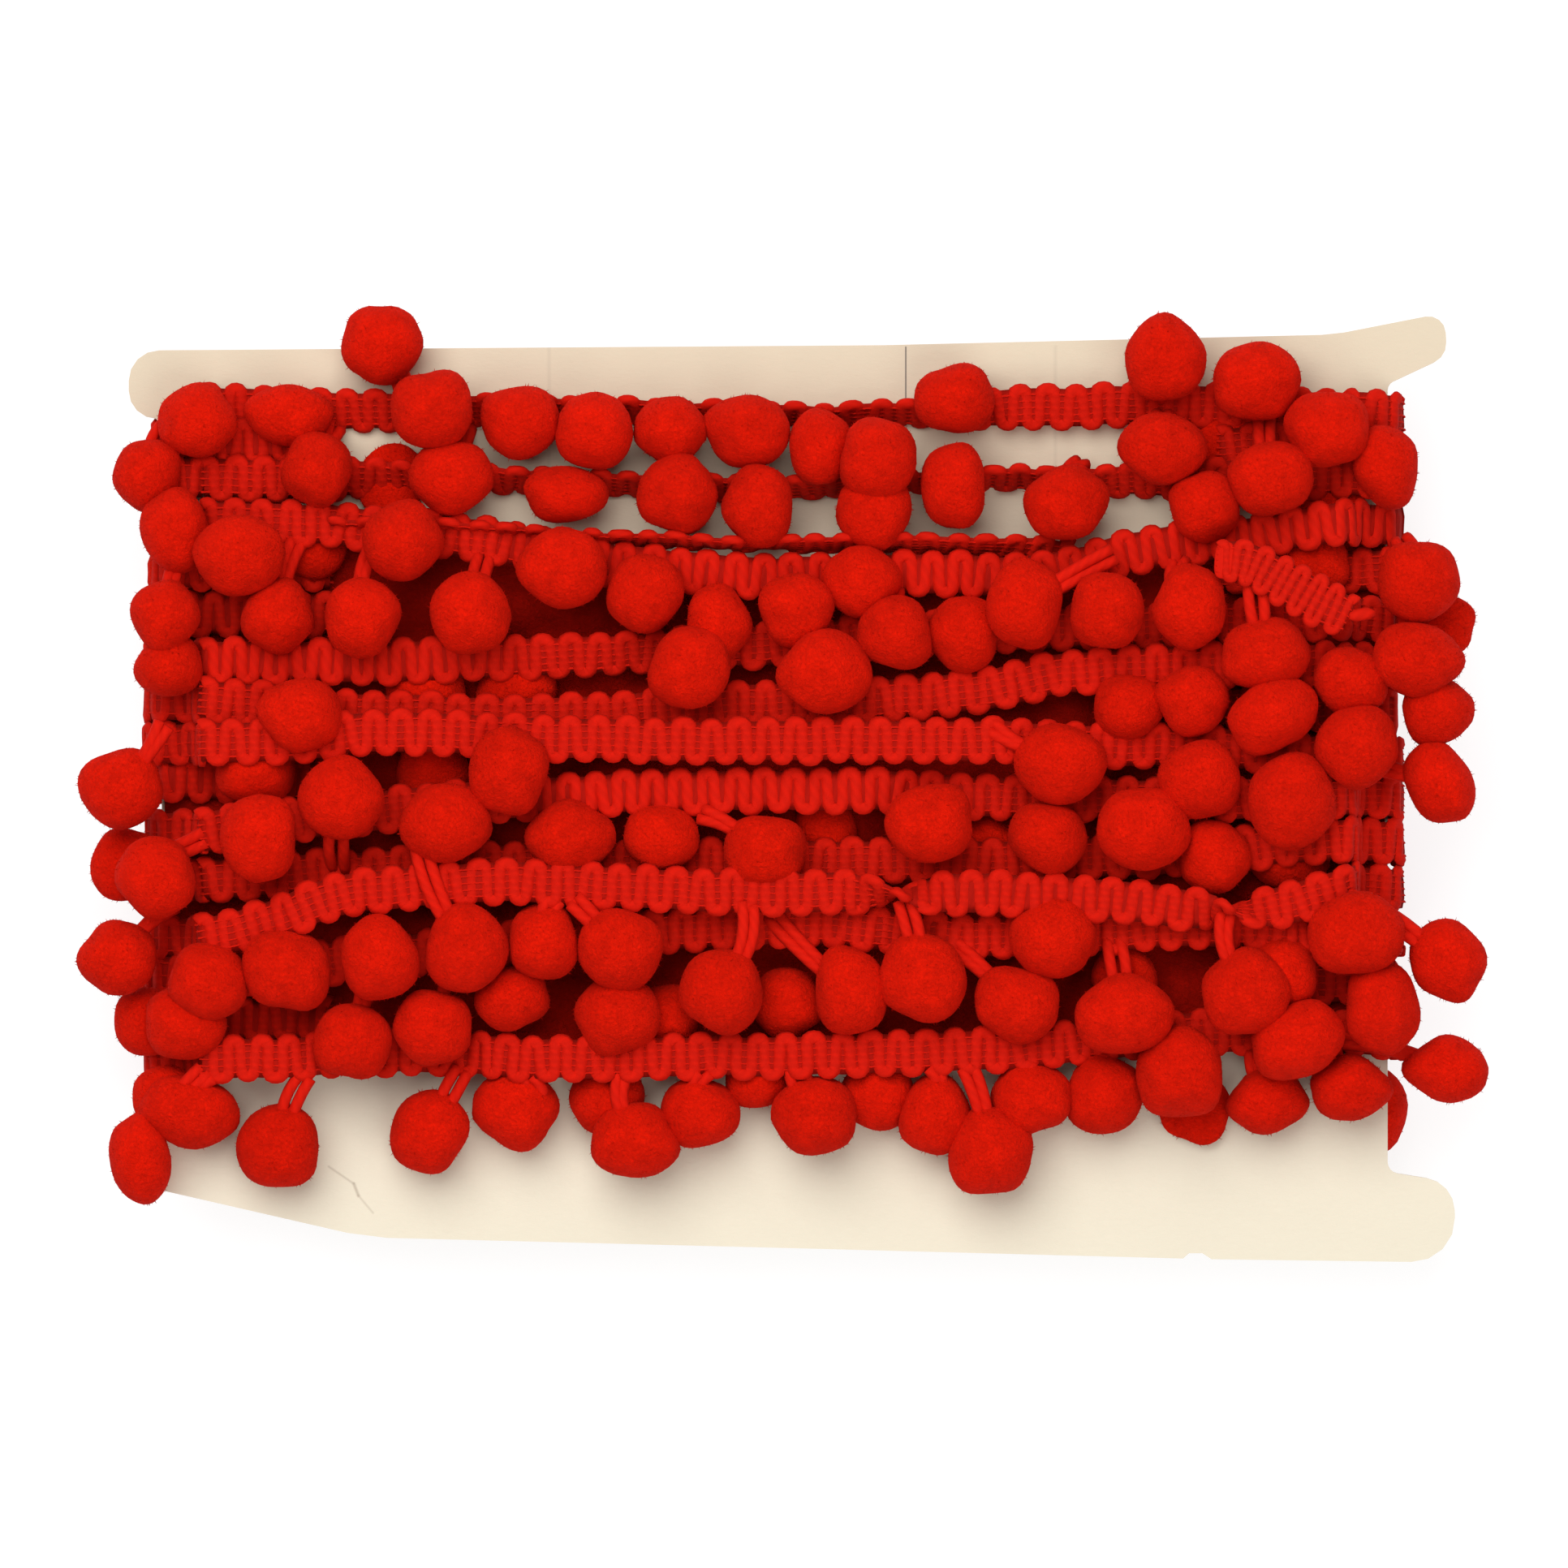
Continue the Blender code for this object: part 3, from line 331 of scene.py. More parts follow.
# The fused patch and the stub of cord at the ends of the loose strip
TIP_HALVES = (1.5, 2.8, 0.55)
TIP_IN = 1.2
TIP_SQUARE = 0.65
TIP_STEPS = 8
STUB_FROM = (-1.0, 0.4, 0.0)
STUB_TO = (3.2, 1.0, -0.4)
STUB_HALVES = (0.95, 0.8)
STUB_STEPS = 9
STUB_SIDES = 12
STUB_TAPER = 1.2
BLUNT_END = 0.12

# Beads of the bound face: spacing, the painted shade and relief between them, and how far out they reach
BEAD = 1.05
BEAD_SHADE = 0.88
BEAD_RELIEF = 0.3
BEAD_REACH = 2.4

# Each felt with its shade, and each twisted yarn with its turns a millimetre, plies, relief and shade
# The inner felt is the red felt at half its colour, as painted shade of the deep winding
FELTS = {"red felt": 1.0, "inner felt in painted shade": 0.5}
TWISTS = {
    # The web's low shade and the gimp's slight one are painted shade of their depth in the winding
    "gimp yarn": (0.45, 3, 0.00016, 0.96),
    "binding thread": (1.2, 2, 0.00008, 0.95),
    "web yarn in painted shade": (1.0, 4, 0.0001, 0.58),
    "ball cord": (0.5, 3, 0.00014, 1.0),
}
FELT_SHADES = (0.84, 1.36)
TWIST_SHADES = (0.86, 1.12)

# Soft creases of the card: each one's ends, its width and how strongly its painted shade and dent show
CREASES = (((-35.5, -44), (-35.5, 66), 0.5, 0.22), ((41, -44), (41, 66), 0.5, 0.22),
           ((86, -40), (86, 60), 0.4, 0.2), ((-68.8, -57.8), (-65, -60.4), 0.3, 0.5),
           ((-65, -60.4), (-64.3, -62.2), 0.4, 0.7), ((-64.3, -62.2), (-62.1, -64.8), 0.3, 0.4))
RULE = ((18.4, 57.0), (18.4, 66.0), 0.18)
INK = (0.09, 0.08, 0.075)
EDGE_MARGIN = 0.06
# Where the card's painted shade, darker towards its top, starts and is full, in metres
TOP_SHADE_FROM = -0.055
TOP_SHADE_TO = 0.06

# Stage: the camera's sensor and frame in millimetres, the other sizes and places in metres
SENSOR = 36.0
FRAME_WIDE = 236.04
REFERENCE_OVER_CARD = 8.0
FLOOR_HALF = 1.5
FLOOR_COLOURS = ((0.24, 0.24, 0.239), (0.26, 0.26, 0.259))
FLOOR_GLOW = 0.79
KEY_PLACE = (-0.26, 0.5, 1.16)
KEY_SIZE = 1.15
FILL_PLACE = (0.4, -0.5, 1.0)
FILL_SIZE = 0.9


def crown(y):
    """The winding's height over the card, read between the rows of CROWN."""
    return np.interp(y, *zip(*CROWN))


def braid_lift(y, level):
    """The height of a braid's middle over the card's front face."""
    return np.maximum(crown(y) + (level - 1) * BRAID_STEP - BRAID_SINK, BRAID_THICK / 2 + CLEAR)


def along_run(run, column, x):
    """This column of a run, read between its stations."""
    return np.interp(x, [station.x for station in run], [getattr(station, column) for station in run])


def unit(vectors):
    """The same directions with length one."""
    return vectors / np.maximum(np.linalg.norm(vectors, axis=-1, keepdims=True), 1e-9)


def lengths(points):
    """How far along the line through the points each of them lies."""
    return np.append(0, np.cumsum(np.linalg.norm(np.diff(points, axis=0), axis=1)))


def smooth(knots, values, at):
    """A smooth line through the values: a cubic between two knots, sloped like its neighbours at each."""
    slope = np.gradient(values, knots, axis=0)
    i = np.clip(np.searchsorted(knots, at, side="right") - 1, 0, len(knots) - 2)
    step = (knots[i + 1] - knots[i])[:, None]
    f = (at - knots[i])[:, None] / step
    start = (2 * f**3 - 3 * f**2 + 1) * values[i] + (f**3 - 2 * f**2 + f) * step * slope[i]
    end = (3 * f**2 - 2 * f**3) * values[i + 1] + (f**3 - f**2) * step * slope[i + 1]
    return start + end


def turned(vector, other, angle):
    """The vector turned towards the other, which is square to it, by the angle."""
    return vector * np.cos(angle)[:, None] + other * np.sin(angle)[:, None]


Ribbon = namedtuple("Ribbon", "along middle side out wide face")


def ribbon(rows, widths, wander, seed):
    """A strip's own frame at each step along: its middle line, the way across it and the way out of it.

    The middle line is smooth through the rows and wanders by the mean of a few long waves. The way across is
    the part of +Y square to the line, rolled about it by the rows' own turn.
    """
    dice = np.random.default_rng(seed)
    table = np.array(rows, float)
    knots = lengths(table[:, :3])
    at = np.arange(0, knots[-1], STRIP_STEP)
    middle = smooth(knots, table[:, :3], at)
    waves = dice.uniform(0, TAU, (3, len(WANDER_WAVES)))
    share = np.sin(at[:, None, None] * TAU / np.array(WANDER_WAVES) + waves).mean(axis=2)
    middle[:, 1:] += share[:, :2] * np.array(WANDER_REACH) * wander
    ahead = unit(np.gradient(middle, axis=0))
    side = unit(np.array((0.0, 1.0, 0.0)) - ahead * ahead[:, 1:2])
    out = np.cross(ahead, side)
    roll = np.radians(np.interp(at, knots, table[:, 3]) + share[:, 2] * WANDER_ROLL * wander)
    return Ribbon(lengths(middle), middle, turned(side, out, roll), turned(out, -side, roll),
                  np.interp(at, knots, widths), np.interp(at, knots, table[:, 4]))


def on_ribbon(line, along, across, above):
    """Points of the strip: so far along its middle line, so far across it and so far out of its face."""
    def at(values):
        return np.stack([np.interp(along, line.along, column) for column in values.T], axis=-1)
    out = unit(at(line.out))
    return at(line.middle) + at(line.side) * across[:, None] + out * above[:, None], out


def gimp(line, start, end, leg, samples, dice):
    """The cord of the braid: it swings to and fro across the strip and hardly moves along it in between.

    With q counting the legs, its place along the strip is leg (q - sin 2 pi q / 2 pi), and its place across
    is reach tanh(k sin pi q) / tanh k.
    """
    legs = np.arange(math.ceil(start / leg), math.floor(end / leg) + 1)
    q = np.arange(legs[0] + LEG_SHORT, legs[-1] - LEG_SHORT, 1 / samples)
    reach = np.interp(q, legs, LOOP_REACH * (1 + dice.normal(0, REACH_STRAY, len(legs))))
    stray = np.interp(q, legs, dice.normal(0, LEG_STRAY, len(legs)))
    along = leg * (q - np.sin(TAU * q) / TAU) + stray
    swing = np.tanh(LOOP_SQUARE * np.sin(np.pi * q)) / math.tanh(LOOP_SQUARE)
    wide = np.interp(along, line.along, line.wide) / BRAID_WIDE
    height = np.interp(q, legs, dice.normal(0, LIFT_STRAY, len(legs)))
    path, out = on_ribbon(line, along, reach * wide * swing, height)
    face = np.interp(along, line.along, line.face)
    return path, out, np.stack((LOOP_REACH * swing, along, (1 + face) / 2), axis=-1)


def binding(line, row, start, end, leg, samples):
    """One binding thread: it runs along the strip, over each leg and down between two, on the strip's face.

    Its height over the strip's middle is face (lift + wave cos(2 pi along / leg)).
    """
    along = np.arange(start, end, leg / samples)
    face = np.interp(along, line.along, line.face)
    wide = np.interp(along, line.along, line.wide) / BRAID_WIDE
    height = face * (THREAD_LIFT + THREAD_WAVE * np.cos(TAU * along / leg))
    return on_ribbon(line, along, row * wide, height)


class Surface:
    """Many shapes as one piece: points, faces, places on the texture, tones and places on the strip."""

    def __init__(self):
        self.points, self.faces, self.places, self.tones, self.strips = [], [], [], [], []
        self.count = 0

    def add(self, points, faces, places=None, tone=0.5, strip=(0, 0, 0)):
        """Adds one shape: its points, and its faces as arrays whose rows each hold one face."""
        flat = points.reshape(-1, 3)
        self.points.append(flat)
        self.tones.append(np.broadcast_to(tone, len(flat)))
        self.strips.append(np.broadcast_to(strip, flat.shape))
        for i, rows in enumerate(faces):
            self.faces.append(rows + self.count)
            self.places.append(np.zeros((*rows.shape, 2)) if places is None else places[i])
        self.count += len(flat)

    def build(self, name, finish):
        """The object that holds everything added, with a UV map and the tones and strips as attributes."""
        mesh = bpy.data.meshes.new(name)

        def fill(holder, key, rows, kind=np.float32):
            holder.foreach_set(key, rows.astype(kind).ravel())

        corners = np.concatenate([rows.ravel() for rows in self.faces])
        sizes = np.concatenate([np.full(len(rows), rows.shape[1]) for rows in self.faces])
        mesh.vertices.add(self.count)
        fill(mesh.vertices, "co", np.concatenate(self.points) * MM)
        mesh.loops.add(len(corners))
        fill(mesh.loops, "vertex_index", corners, np.int32)
        mesh.polygons.add(len(sizes))
        fill(mesh.polygons, "loop_start", np.cumsum(sizes) - sizes, np.int32)
        mesh.update(calc_edges=True)
        places = np.concatenate([rows.reshape(-1, 2) for rows in self.places])
        fill(mesh.uv_layers.new(name="surface").data, "uv", places)
        fill(mesh.attributes.new("tone", "FLOAT", "POINT").data, "value", np.concatenate(self.tones))
        strips = np.concatenate(self.strips)
        fill(mesh.attributes.new("strip", "FLOAT_VECTOR", "POINT").data, "vector", strips)
        mesh.validate()
        mesh.shade_smooth()
        mesh.materials.append(finish)
        made = bpy.data.objects.new(name, mesh)
        bpy.context.scene.collection.objects.link(made)
        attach(made, "root")
        return made


def grid_faces(rows, columns, closed):
    """The four-cornered faces of a grid of points, joined round from last to first column if closed."""
    i, j = np.indices((rows - 1, columns if closed else columns - 1)).reshape(2, -1, 1)
    return (i + (0, 0, 1, 1)) * columns + (j + (0, 1, 1, 0)) % columns


def tube(surface, path, up, wide, thick, sides, tone=0.5, taper=0.0, strip=(0, 0, 0)):
    """A cord: an oval along the path, thin the way up points and tapered over this length at both ends."""
    ahead = unit(np.gradient(path, axis=0))
    across = unit(np.cross(up, ahead))
    lift = np.cross(ahead, across)
    length = lengths(path)
    from_end = np.minimum(length, length[-1] - length)
    full = np.clip((from_end + BLUNT_END) / taper, 0, 1) ** 0.5 if taper else np.ones(len(path))
    angle = np.arange(sides) * TAU / sides
    ring = (np.cos(angle)[None, :, None] * across[:, None] * wide
            + np.sin(angle)[None, :, None] * lift[:, None] * thick)
    points = path[:, None] + ring * full[:, None, None]
    round_it = np.arange(sides)
    caps = np.stack((round_it[::-1], round_it + (len(path) - 1) * sides))
    i, j = np.indices((len(path) - 1, sides)).reshape(2, -1, 1)
    places = np.stack((length[i + (0, 0, 1, 1)], (j + (0, 1, 1, 0)) / sides), axis=-1)
    rings = np.broadcast_to(np.broadcast_to(strip, path.shape)[:, None], points.shape).reshape(-1, 3)
    surface.add(points, [grid_faces(len(path), sides, True), caps], [places, np.zeros((2, sides, 2))], tone,
                rings)


def station_rows(run):
    """A run's stations as places over the card's front, each with its turn and face."""
    return [(s.x, s.y, CARD_FRONT + braid_lift(s.y, s.level), s.turn, s.face) for s in run]


def wrap(edge, outward, start_y, end_y, held):
    """The strip's stations round one card edge, from the face that it leaves to the face that it meets."""
    steps = len(WRAP) - 1
    places = [(edge + outward * past, start_y + (end_y - start_y) * i / steps, CARD_MIDDLE + outward * over)
              for i, (past, over) in enumerate(WRAP)]
    return [(*place, *held) for place in places]


def short_strip(rows, wander, seed):
    """A strip of even width through the rows, with its start and end."""
    line = ribbon(rows, [BRAID_WIDE] * len(rows), wander, seed)
    return line, 0, line.along[-1]


def edge_turns(wander):
    """The inner turns, which show only round the card's two edges, as short strips."""
    made = []
    for number, (edge, outward, places) in enumerate(EDGE_TURNS):
        for y in places:
            front = [(inward, CARD_FRONT + lift) for inward, lift in EDGE_RISE]
            back = [(inward, CARD_BACK - lift) for inward, lift in reversed(EDGE_RISE)]
            round_it = [(-past, CARD_MIDDLE + over) for past, over in EDGE_WRAP]
            rows = [(edge - outward * inward, y, z, 0, 1) for inward, z in front + round_it + back]
            made.append(short_strip(rows, wander, SEED + 100 * number + round(y) + 60))
    return made


def buried_strips(wander):
    """The strips between two turns that show for only a part of their run."""
    return [short_strip(station_rows([Station(*row) for row in run]), wander, SEED + 300 + number)
            for number, run in enumerate(BURIED)]


def turn_rows(index):
    """The stations of one turn, right round the card, and how many lie on its front and right edge."""
    runs = list(RUNS.values())
    run = runs[index]
    last = index + 1 == len(runs)
    start_y = run[-1].y
    end_y = (run if last else runs[index + 1])[0].y
    held = (run[-1].turn, run[-1].face)
    rows = station_rows(run) + wrap(RECESS_RIGHT, 1, start_y, start_y - 1, held)
    in_front = len(rows) - len(WRAP) // 2
    for k, x in enumerate(reversed(BACK_STATIONS)):
        y = start_y + (end_y - start_y) * (k + 1) / (len(BACK_STATIONS) + 1)
        rows.append((x, y, CARD_BACK - BACK_BRAID_LIFT - BACK_BRAID_STEP * ((index + k) % 3), *held))
    if not last:
        x, y, z, _, _ = station_rows(runs[index + 1])[0]
        rows += wrap(RECESS_LEFT, -1, end_y, end_y, held) + [(x + NEST[0], y + NEST[1], z + NEST[2], *held)]
    return rows, in_front


def turn_ribbons(wander):
    """Every turn of the winding as a strip, each with the length at which it passes to the back."""
    made = []
    for index in range(len(RUNS)):
        rows, in_front = turn_rows(index)
        widths = [BRAID_WIDE * (1 - SLIMMING * k / len(rows)) for k in range(len(rows))]
        line = ribbon(rows, widths, wander, SEED + index)
        edge = np.array(rows[in_front - 1][:3])
        made.append((line, line.along[np.argmin(np.linalg.norm(line.middle - edge, axis=1))]))
    return made


def cube_sphere(steps):
    """Directions over a whole ball: an even-angled grid on each side of a cube, its shared edges merged."""
    t = np.tan(np.linspace(-1, 1, steps + 1) * np.pi / 4)
    a, b = np.meshgrid(t, t, indexing="ij")
    one = np.ones_like(a)
    sides = ((a, b, one), (b, a, -one), (one, a, b), (-one, b, a), (b, one, a), (a, -one, b))
    points = np.concatenate([np.stack(side, axis=-1).reshape(-1, 3) for side in sides])
    quads = grid_faces(steps + 1, steps + 1, False)[:, ::-1]
    quads = np.concatenate([quads + k * (steps + 1) ** 2 for k in range(len(sides))])
    _, first, index = np.unique(np.round(points, 5), axis=0, return_index=True, return_inverse=True)
    return unit(points[first]), index.reshape(-1)[quads]


Pompoms = namedtuple("Pompoms", "roots middles halves turns low high tone")


def ball_turn(degrees):
    """The turn about +Z, as a matrix for each ball."""
    c, s = np.cos(np.radians(degrees)), np.sin(np.radians(degrees))
    nil, one = np.zeros_like(c), np.ones_like(c)
    return np.stack((c, -s, nil, s, c, nil, nil, nil, one), axis=-1).reshape(-1, 3, 3)


def nearest_braid(x, y):
    """The height over the card of the strip nearest to this place on the front."""
    gaps = []
    for run in RUNS.values():
        for a, b in zip(run, run[1:]):
            share = min(max((x - a.x) / (b.x - a.x), 0), 1)
            at_y = a.y + (b.y - a.y) * share
            lift = float(braid_lift(at_y, a.level + (b.level - a.level) * share))
            gaps.append((math.hypot(a.x + (b.x - a.x) * share - x, at_y - y), lift))
    return min(gaps)[1]


def own_root(x, y):
    """Where the cord of a ball starts when that isn't seen: the lower edge of the strip just above it."""
    above = []
    for run in RUNS.values():
        at_y = float(along_run(run, "y", x))
        if 0 < at_y - y < OWN_ROOT_REACH:
            lift = float(braid_lift(at_y, along_run(run, "level", x)))
            root_x = x * OWN_ROOT_SHRINK + OWN_ROOT_ASIDE
            above.append((at_y - y, (root_x, at_y - BRAID_WIDE / 2 + OWN_ROOT_IN, CARD_FRONT + lift)))
    return min(above)[1] if above else None


def front_pompoms(table, dice):
    """Balls of the front: where their cords start, their middles, half sizes, turns, lowest and highest."""
    rows = []
    for ball in table:
        lift = max(float(crown(ball.y)) + (ball.level - 1) * BALL_STEP, LOWEST_BALL)
        deep = BALL * dice.uniform(*BALL_DEPTHS)
        low = CARD_FRONT + BALL_GAP + dice.uniform(0, UNEVEN)
        turn = ball.turn + dice.uniform(-BALL_TWIST, BALL_TWIST)
        root = own_root(ball.x, ball.y)
        if ball.level < PRESSED_LEVEL:
            under = CARD_FRONT + nearest_braid(ball.x, ball.y) - UNDER_BRAID
            deep = min(deep, under - low)
            lift = under - deep / 2 - CARD_FRONT
            root = None
        if ball.cord:
            over = ball.cord[2] if len(ball.cord) > 2 else nearest_braid(*ball.cord)
            root = (*ball.cord[:2], CARD_FRONT + over)
        halves = (ball.wide / 2, ball.tall / 2, deep / 2)
        rows.append((root, (ball.x, ball.y, CARD_FRONT + lift), halves, turn, low, NO_LIMIT))
    return rows


def pompoms_of(rows):
    """The rows of balls as whole arrays, each ball with a tone of its own."""
    roots, *others = zip(*rows)
    tone = np.random.default_rng(SEED).uniform(*BALL_TONES, len(rows))
    return Pompoms(roots, *map(np.array, others), tone)


def back_places():
    """Where the balls of the back hang: evenly along each back run, each run's set back by half a step."""
    runs = list(RUNS.values())
    count = int((RECESS_RIGHT - RECESS_LEFT) / BACK_PITCH)
    places = []
    for i, run in enumerate(runs):
        start_y = run[-1].y
        end_y = runs[min(i + 1, len(runs) - 1)][0].y
        for k in range(count + i % 2):
            x = RECESS_LEFT + BACK_MARGIN + (k + 0.5 - 0.5 * (i % 2)) * BACK_PITCH
            share = (RECESS_RIGHT - x) / (RECESS_RIGHT - RECESS_LEFT)
            places.append((x, start_y + (end_y - start_y) * share - BACK_DROP))
    return places


def back_pompoms(dice):
    """The balls behind the card: a few rest on the floor, pressed flat there, and the others lie over it."""
    places = back_places()
    resting = {min(places, key=lambda p: math.dist(p, target)) for target in RESTING}
    widest = BALL * BACK_SIZES[1]
    rows = []
    for x, y in places:
        middle = (x, y, REST_HEIGHT)
        size = (widest, widest, BALL)
        if (x, y) not in resting:
            stray = (dice.uniform(-BACK_STRAY, BACK_STRAY), dice.uniform(-BACK_STRAY, BACK_STRAY))
            middle = (x + stray[0], y + stray[1], CARD_BACK - dice.uniform(*BACK_LIFTS))
            size = (BALL * dice.uniform(*BACK_SIZES), BALL * dice.uniform(*BACK_SIZES), BALL)
        high = CARD_BACK - BALL_GAP - dice.uniform(0, UNEVEN)
        root = (x, y + BACK_DROP - BACK_ROOT_IN, CARD_BACK - BACK_BRAID_LIFT - BACK_BRAID_STEP)
        rows.append((root, middle, [side / 2 for side in size], dice.uniform(*BACK_TURNS), 0.0, high))
    rows.append((PEEKING_ROOT, PEEKING, (BALL / 2, widest / 2, BALL / 2), 0.0, 0.0, CARD_BACK - CLEAR))
    return rows


def felted(balls, directions):
    """The felt surface of each ball along the directions given for it, in millimetres.

    The radius is 1 plus a few wide soft lumps and dents, each amount exp(k (n . d - 1)), plus corners round
    its own axis, each share cos(corners angle + phase), plus a fine ripple, and is drawn out to the cord.
    The ball is then stretched, turned and pressed flat above its highest and below its lowest place.
    """
    dice = np.random.default_rng(SEED)
    count = len(balls.tone)
    lumps = unit(dice.normal(0, 1, (count, LUMPS, 3)))
    amounts = dice.uniform(*LUMP_AMOUNTS, (count, LUMPS))
    tight = dice.uniform(*LUMP_TIGHTNESS, (count, LUMPS))
    near = np.einsum("nld,nmd->nml", lumps, directions)
    radius = 1 + (amounts[:, None] * np.exp(tight[:, None] * (near - 1))).sum(axis=2) + FELT_SWELL
    angle = np.arctan2(directions[..., 1], directions[..., 0])
    flatness = np.hypot(directions[..., 0], directions[..., 1]) ** 2
    for corners, share in CORNERS:
        bend = dice.uniform(*CORNER_SHARES, (count, 1)) * share
        radius += bend * flatness * np.cos(corners * angle + dice.uniform(0, TAU, (count, 1)))
    waves = dice.uniform(*RIPPLE_WAVES, (count, 1, 3)) * directions
    waves += dice.uniform(0, RIPPLE_START, (count, 1, 3))
    radius += RIPPLE * np.sin(waves).prod(axis=2)
    turn = ball_turn(balls.turns)
    roots = [m if r is None else r for m, r in zip(balls.middles, balls.roots)]
    hang = np.einsum("nkd,nk->nd", turn, unit(np.array(roots) - balls.middles))
    radius += DRAWN * np.clip(np.einsum("nd,nmd->nm", hang, directions), 0, 1) ** DRAWN_POINT
    points = directions * radius[..., None] * balls.halves[:, None]
    points = np.einsum("nkd,nmd->nmk", turn, points) + balls.middles[:, None]
    points[..., 2] = np.clip(points[..., 2], balls.low[:, None], balls.high[:, None])
    return points


def copies_of(faces, count, size):
    """The faces of one shape, repeated for so many shapes of this many points each."""
    return (faces + (np.arange(count) * size)[:, None, None]).reshape(-1, faces.shape[1])


def make_pompoms(name, balls, steps, finish):
    """The felt balls, joined into one piece, each a whole closed shape."""
    directions, quads = cube_sphere(steps)
    count, size = len(balls.tone), len(directions)
    surface = Surface()
    points = felted(balls, np.broadcast_to(directions, (count, size, 3)))
    surface.add(points, [copies_of(quads, count, size)], tone=np.repeat(balls.tone, size))
    return surface.build(name, finish)


def make_pile(name, balls, fibres, length, thick, finish):
    """The raised fibres of the felt: thin three-sided spikes that lean every way out of each ball."""
    dice = np.random.default_rng(SEED + 1)
    count = len(balls.tone)
    directions = unit(dice.normal(0, 1, (count, fibres, 3)))
    roots = felted(balls, directions)
    outward = np.einsum("nkd,nmd->nmk", ball_turn(balls.turns), unit(directions / balls.halves[:, None]))
    lean = unit(outward + dice.normal(0, FIBRE_LEAN, roots.shape))
    reach = dice.uniform(*FIBRE_SHARES, (count, fibres, 1)) ** FIBRE_SHORTNESS * length
    across = unit(np.cross(lean, dice.normal(0, 1, roots.shape)))
    other = np.cross(lean, across)
    foot = roots - outward * FIBRE_ROOT
    thirds = [foot + (np.cos(a) * across + np.sin(a) * other) * thick for a in np.arange(3) * TAU / 3]
    points = np.stack([*thirds, roots + lean * reach], axis=2)
    points[..., 2] = np.maximum(points[..., 2], 0.0)
    spike = np.array(((0, 1, 3), (1, 2, 3), (2, 0, 3), (2, 1, 0)))
    surface = Surface()
    surface.add(points, [copies_of(spike, count * fibres, 4)], tone=np.repeat(balls.tone, fibres * 4))
    return surface.build(name, finish)


def make_ball_cords(name, balls, finish):
    """The pair of cords that each ball hangs from: two tubes along an arch from the braid into the ball.

    The arch is a curve with one guide, from the root over a guide set up and aside into the ball.
    """
    dice = np.random.default_rng(SEED + 2)
    surface = Surface()
    t = np.linspace(0, 1, BALL_CORD_STEPS)[:, None]
    up = np.array((0.0, 0.0, 1.0))
    hung = [row for row in zip(balls.roots, balls.middles, balls.halves) if row[0] is not None]
    for root, ball, halves in hung:
        start = np.array(root)
        run = ball - start
        along = unit(run)
        end = ball - along * halves.min() * BALL_CORD_IN
        across = unit(np.cross(up, along))
        rise = ARCH_LIFT + ARCH_RISE * np.linalg.norm(run)
        guide = (start + end) / 2 + across * dice.normal(0, ARCH_ASIDE) + up * rise
        middle = start * (1 - t) ** 2 + guide * 2 * t * (1 - t) + end * t**2
        spread = BALL_CORDS_APART / 2 * (1 - t / 2) + SPREAD_STRAY * np.sin(np.pi * t) * dice.normal(0, 1)
        for side in (-1, 1):
            path = middle + across * spread * side + up * dice.normal(0, HEIGHT_STRAY)
            tone = dice.uniform(*CORD_TONES)
            tube(surface, path, up, BALL_CORD_HALF, BALL_CORD_HALF, BALL_CORD_SIDES, tone)
    return surface.build(name, finish)


def heap(x, y, centres, radius):
    """The height of a bed of balls: over each place the highest of the half balls round these centres."""
    gap = (x[..., None] - centres[:, 0]) ** 2 + (y[..., None] - centres[:, 1]) ** 2
    return np.sqrt(np.clip(radius**2 - gap, 0, None)).max(axis=-1)


def ragged(y, x):
    """The rim at this height, moved up and down by a few waves along x."""
    return y + sum(size * np.sin(TAU * x / length + phase) for size, length, phase in RIM_WAVES)


def make_inner(name, along, low, high, top, finish):
    """The inner layers of the winding: a bed of balls seen only through gaps, closed below by a flat face.

    The low and high rims are given along the bed, and its edges are drawn in towards the card.
    """
    dice = np.random.default_rng(SEED + 3)
    xs = np.arange(along[0], along[-1] + BED_PITCH, BED_PITCH)
    ys = np.arange(low.min(), high.max() + BED_PITCH, BED_PITCH * BED_ROW_SHARE)
    centres = np.array([(x + (k % 2) * BED_PITCH / 2, y) for k, y in enumerate(ys) for x in xs])
    centres += dice.uniform(-BED_STRAY, BED_STRAY, centres.shape)
    x, share = np.meshgrid(along, np.linspace(0, 1, BED_ROWS), indexing="ij")
    low, high = low[:, None], high[:, None]
    y = low + (high - low) * share
    inside = [np.sin(np.clip(gap / wide, 0, 1) * np.pi / 2) for gap, wide in zip(
        (np.minimum(x - along[0], along[-1] - x), np.minimum(y - low, high - y)), BED_EDGES)]
    inner, outer = top(x, y, heap(x, y, centres, HEAP_RADIUS), inside[0] * inside[1])
    levels = (np.maximum(inner, outer), np.minimum(inner, outer))
    points = np.concatenate([np.stack((x, y, z), axis=-1).reshape(-1, 3) for z in levels])
    grid = grid_faces(*x.shape, False)
    index = np.arange(x.size).reshape(x.shape)
    border = np.concatenate((index[0], index[1:, -1], index[-1, -2::-1], index[-2:0:-1, 0]))
    after = np.roll(border, -1)
    walls = np.stack((border, border + x.size, after + x.size, after), axis=-1)
    surface = Surface()
    surface.add(points, [grid[:, ::-1], grid + x.size, walls[:, ::-1]])
    return surface.build(name, finish)


def front_bed(x, y, mound, edge):
    """The inner and outer heights of the bed of balls under the front turns."""
    inner = np.full(x.shape, CARD_FRONT + BED_GAP)
    return inner, inner + BED_THICK + edge * np.maximum(crown(y) - BED_BELOW_CROWN + mound, 0)


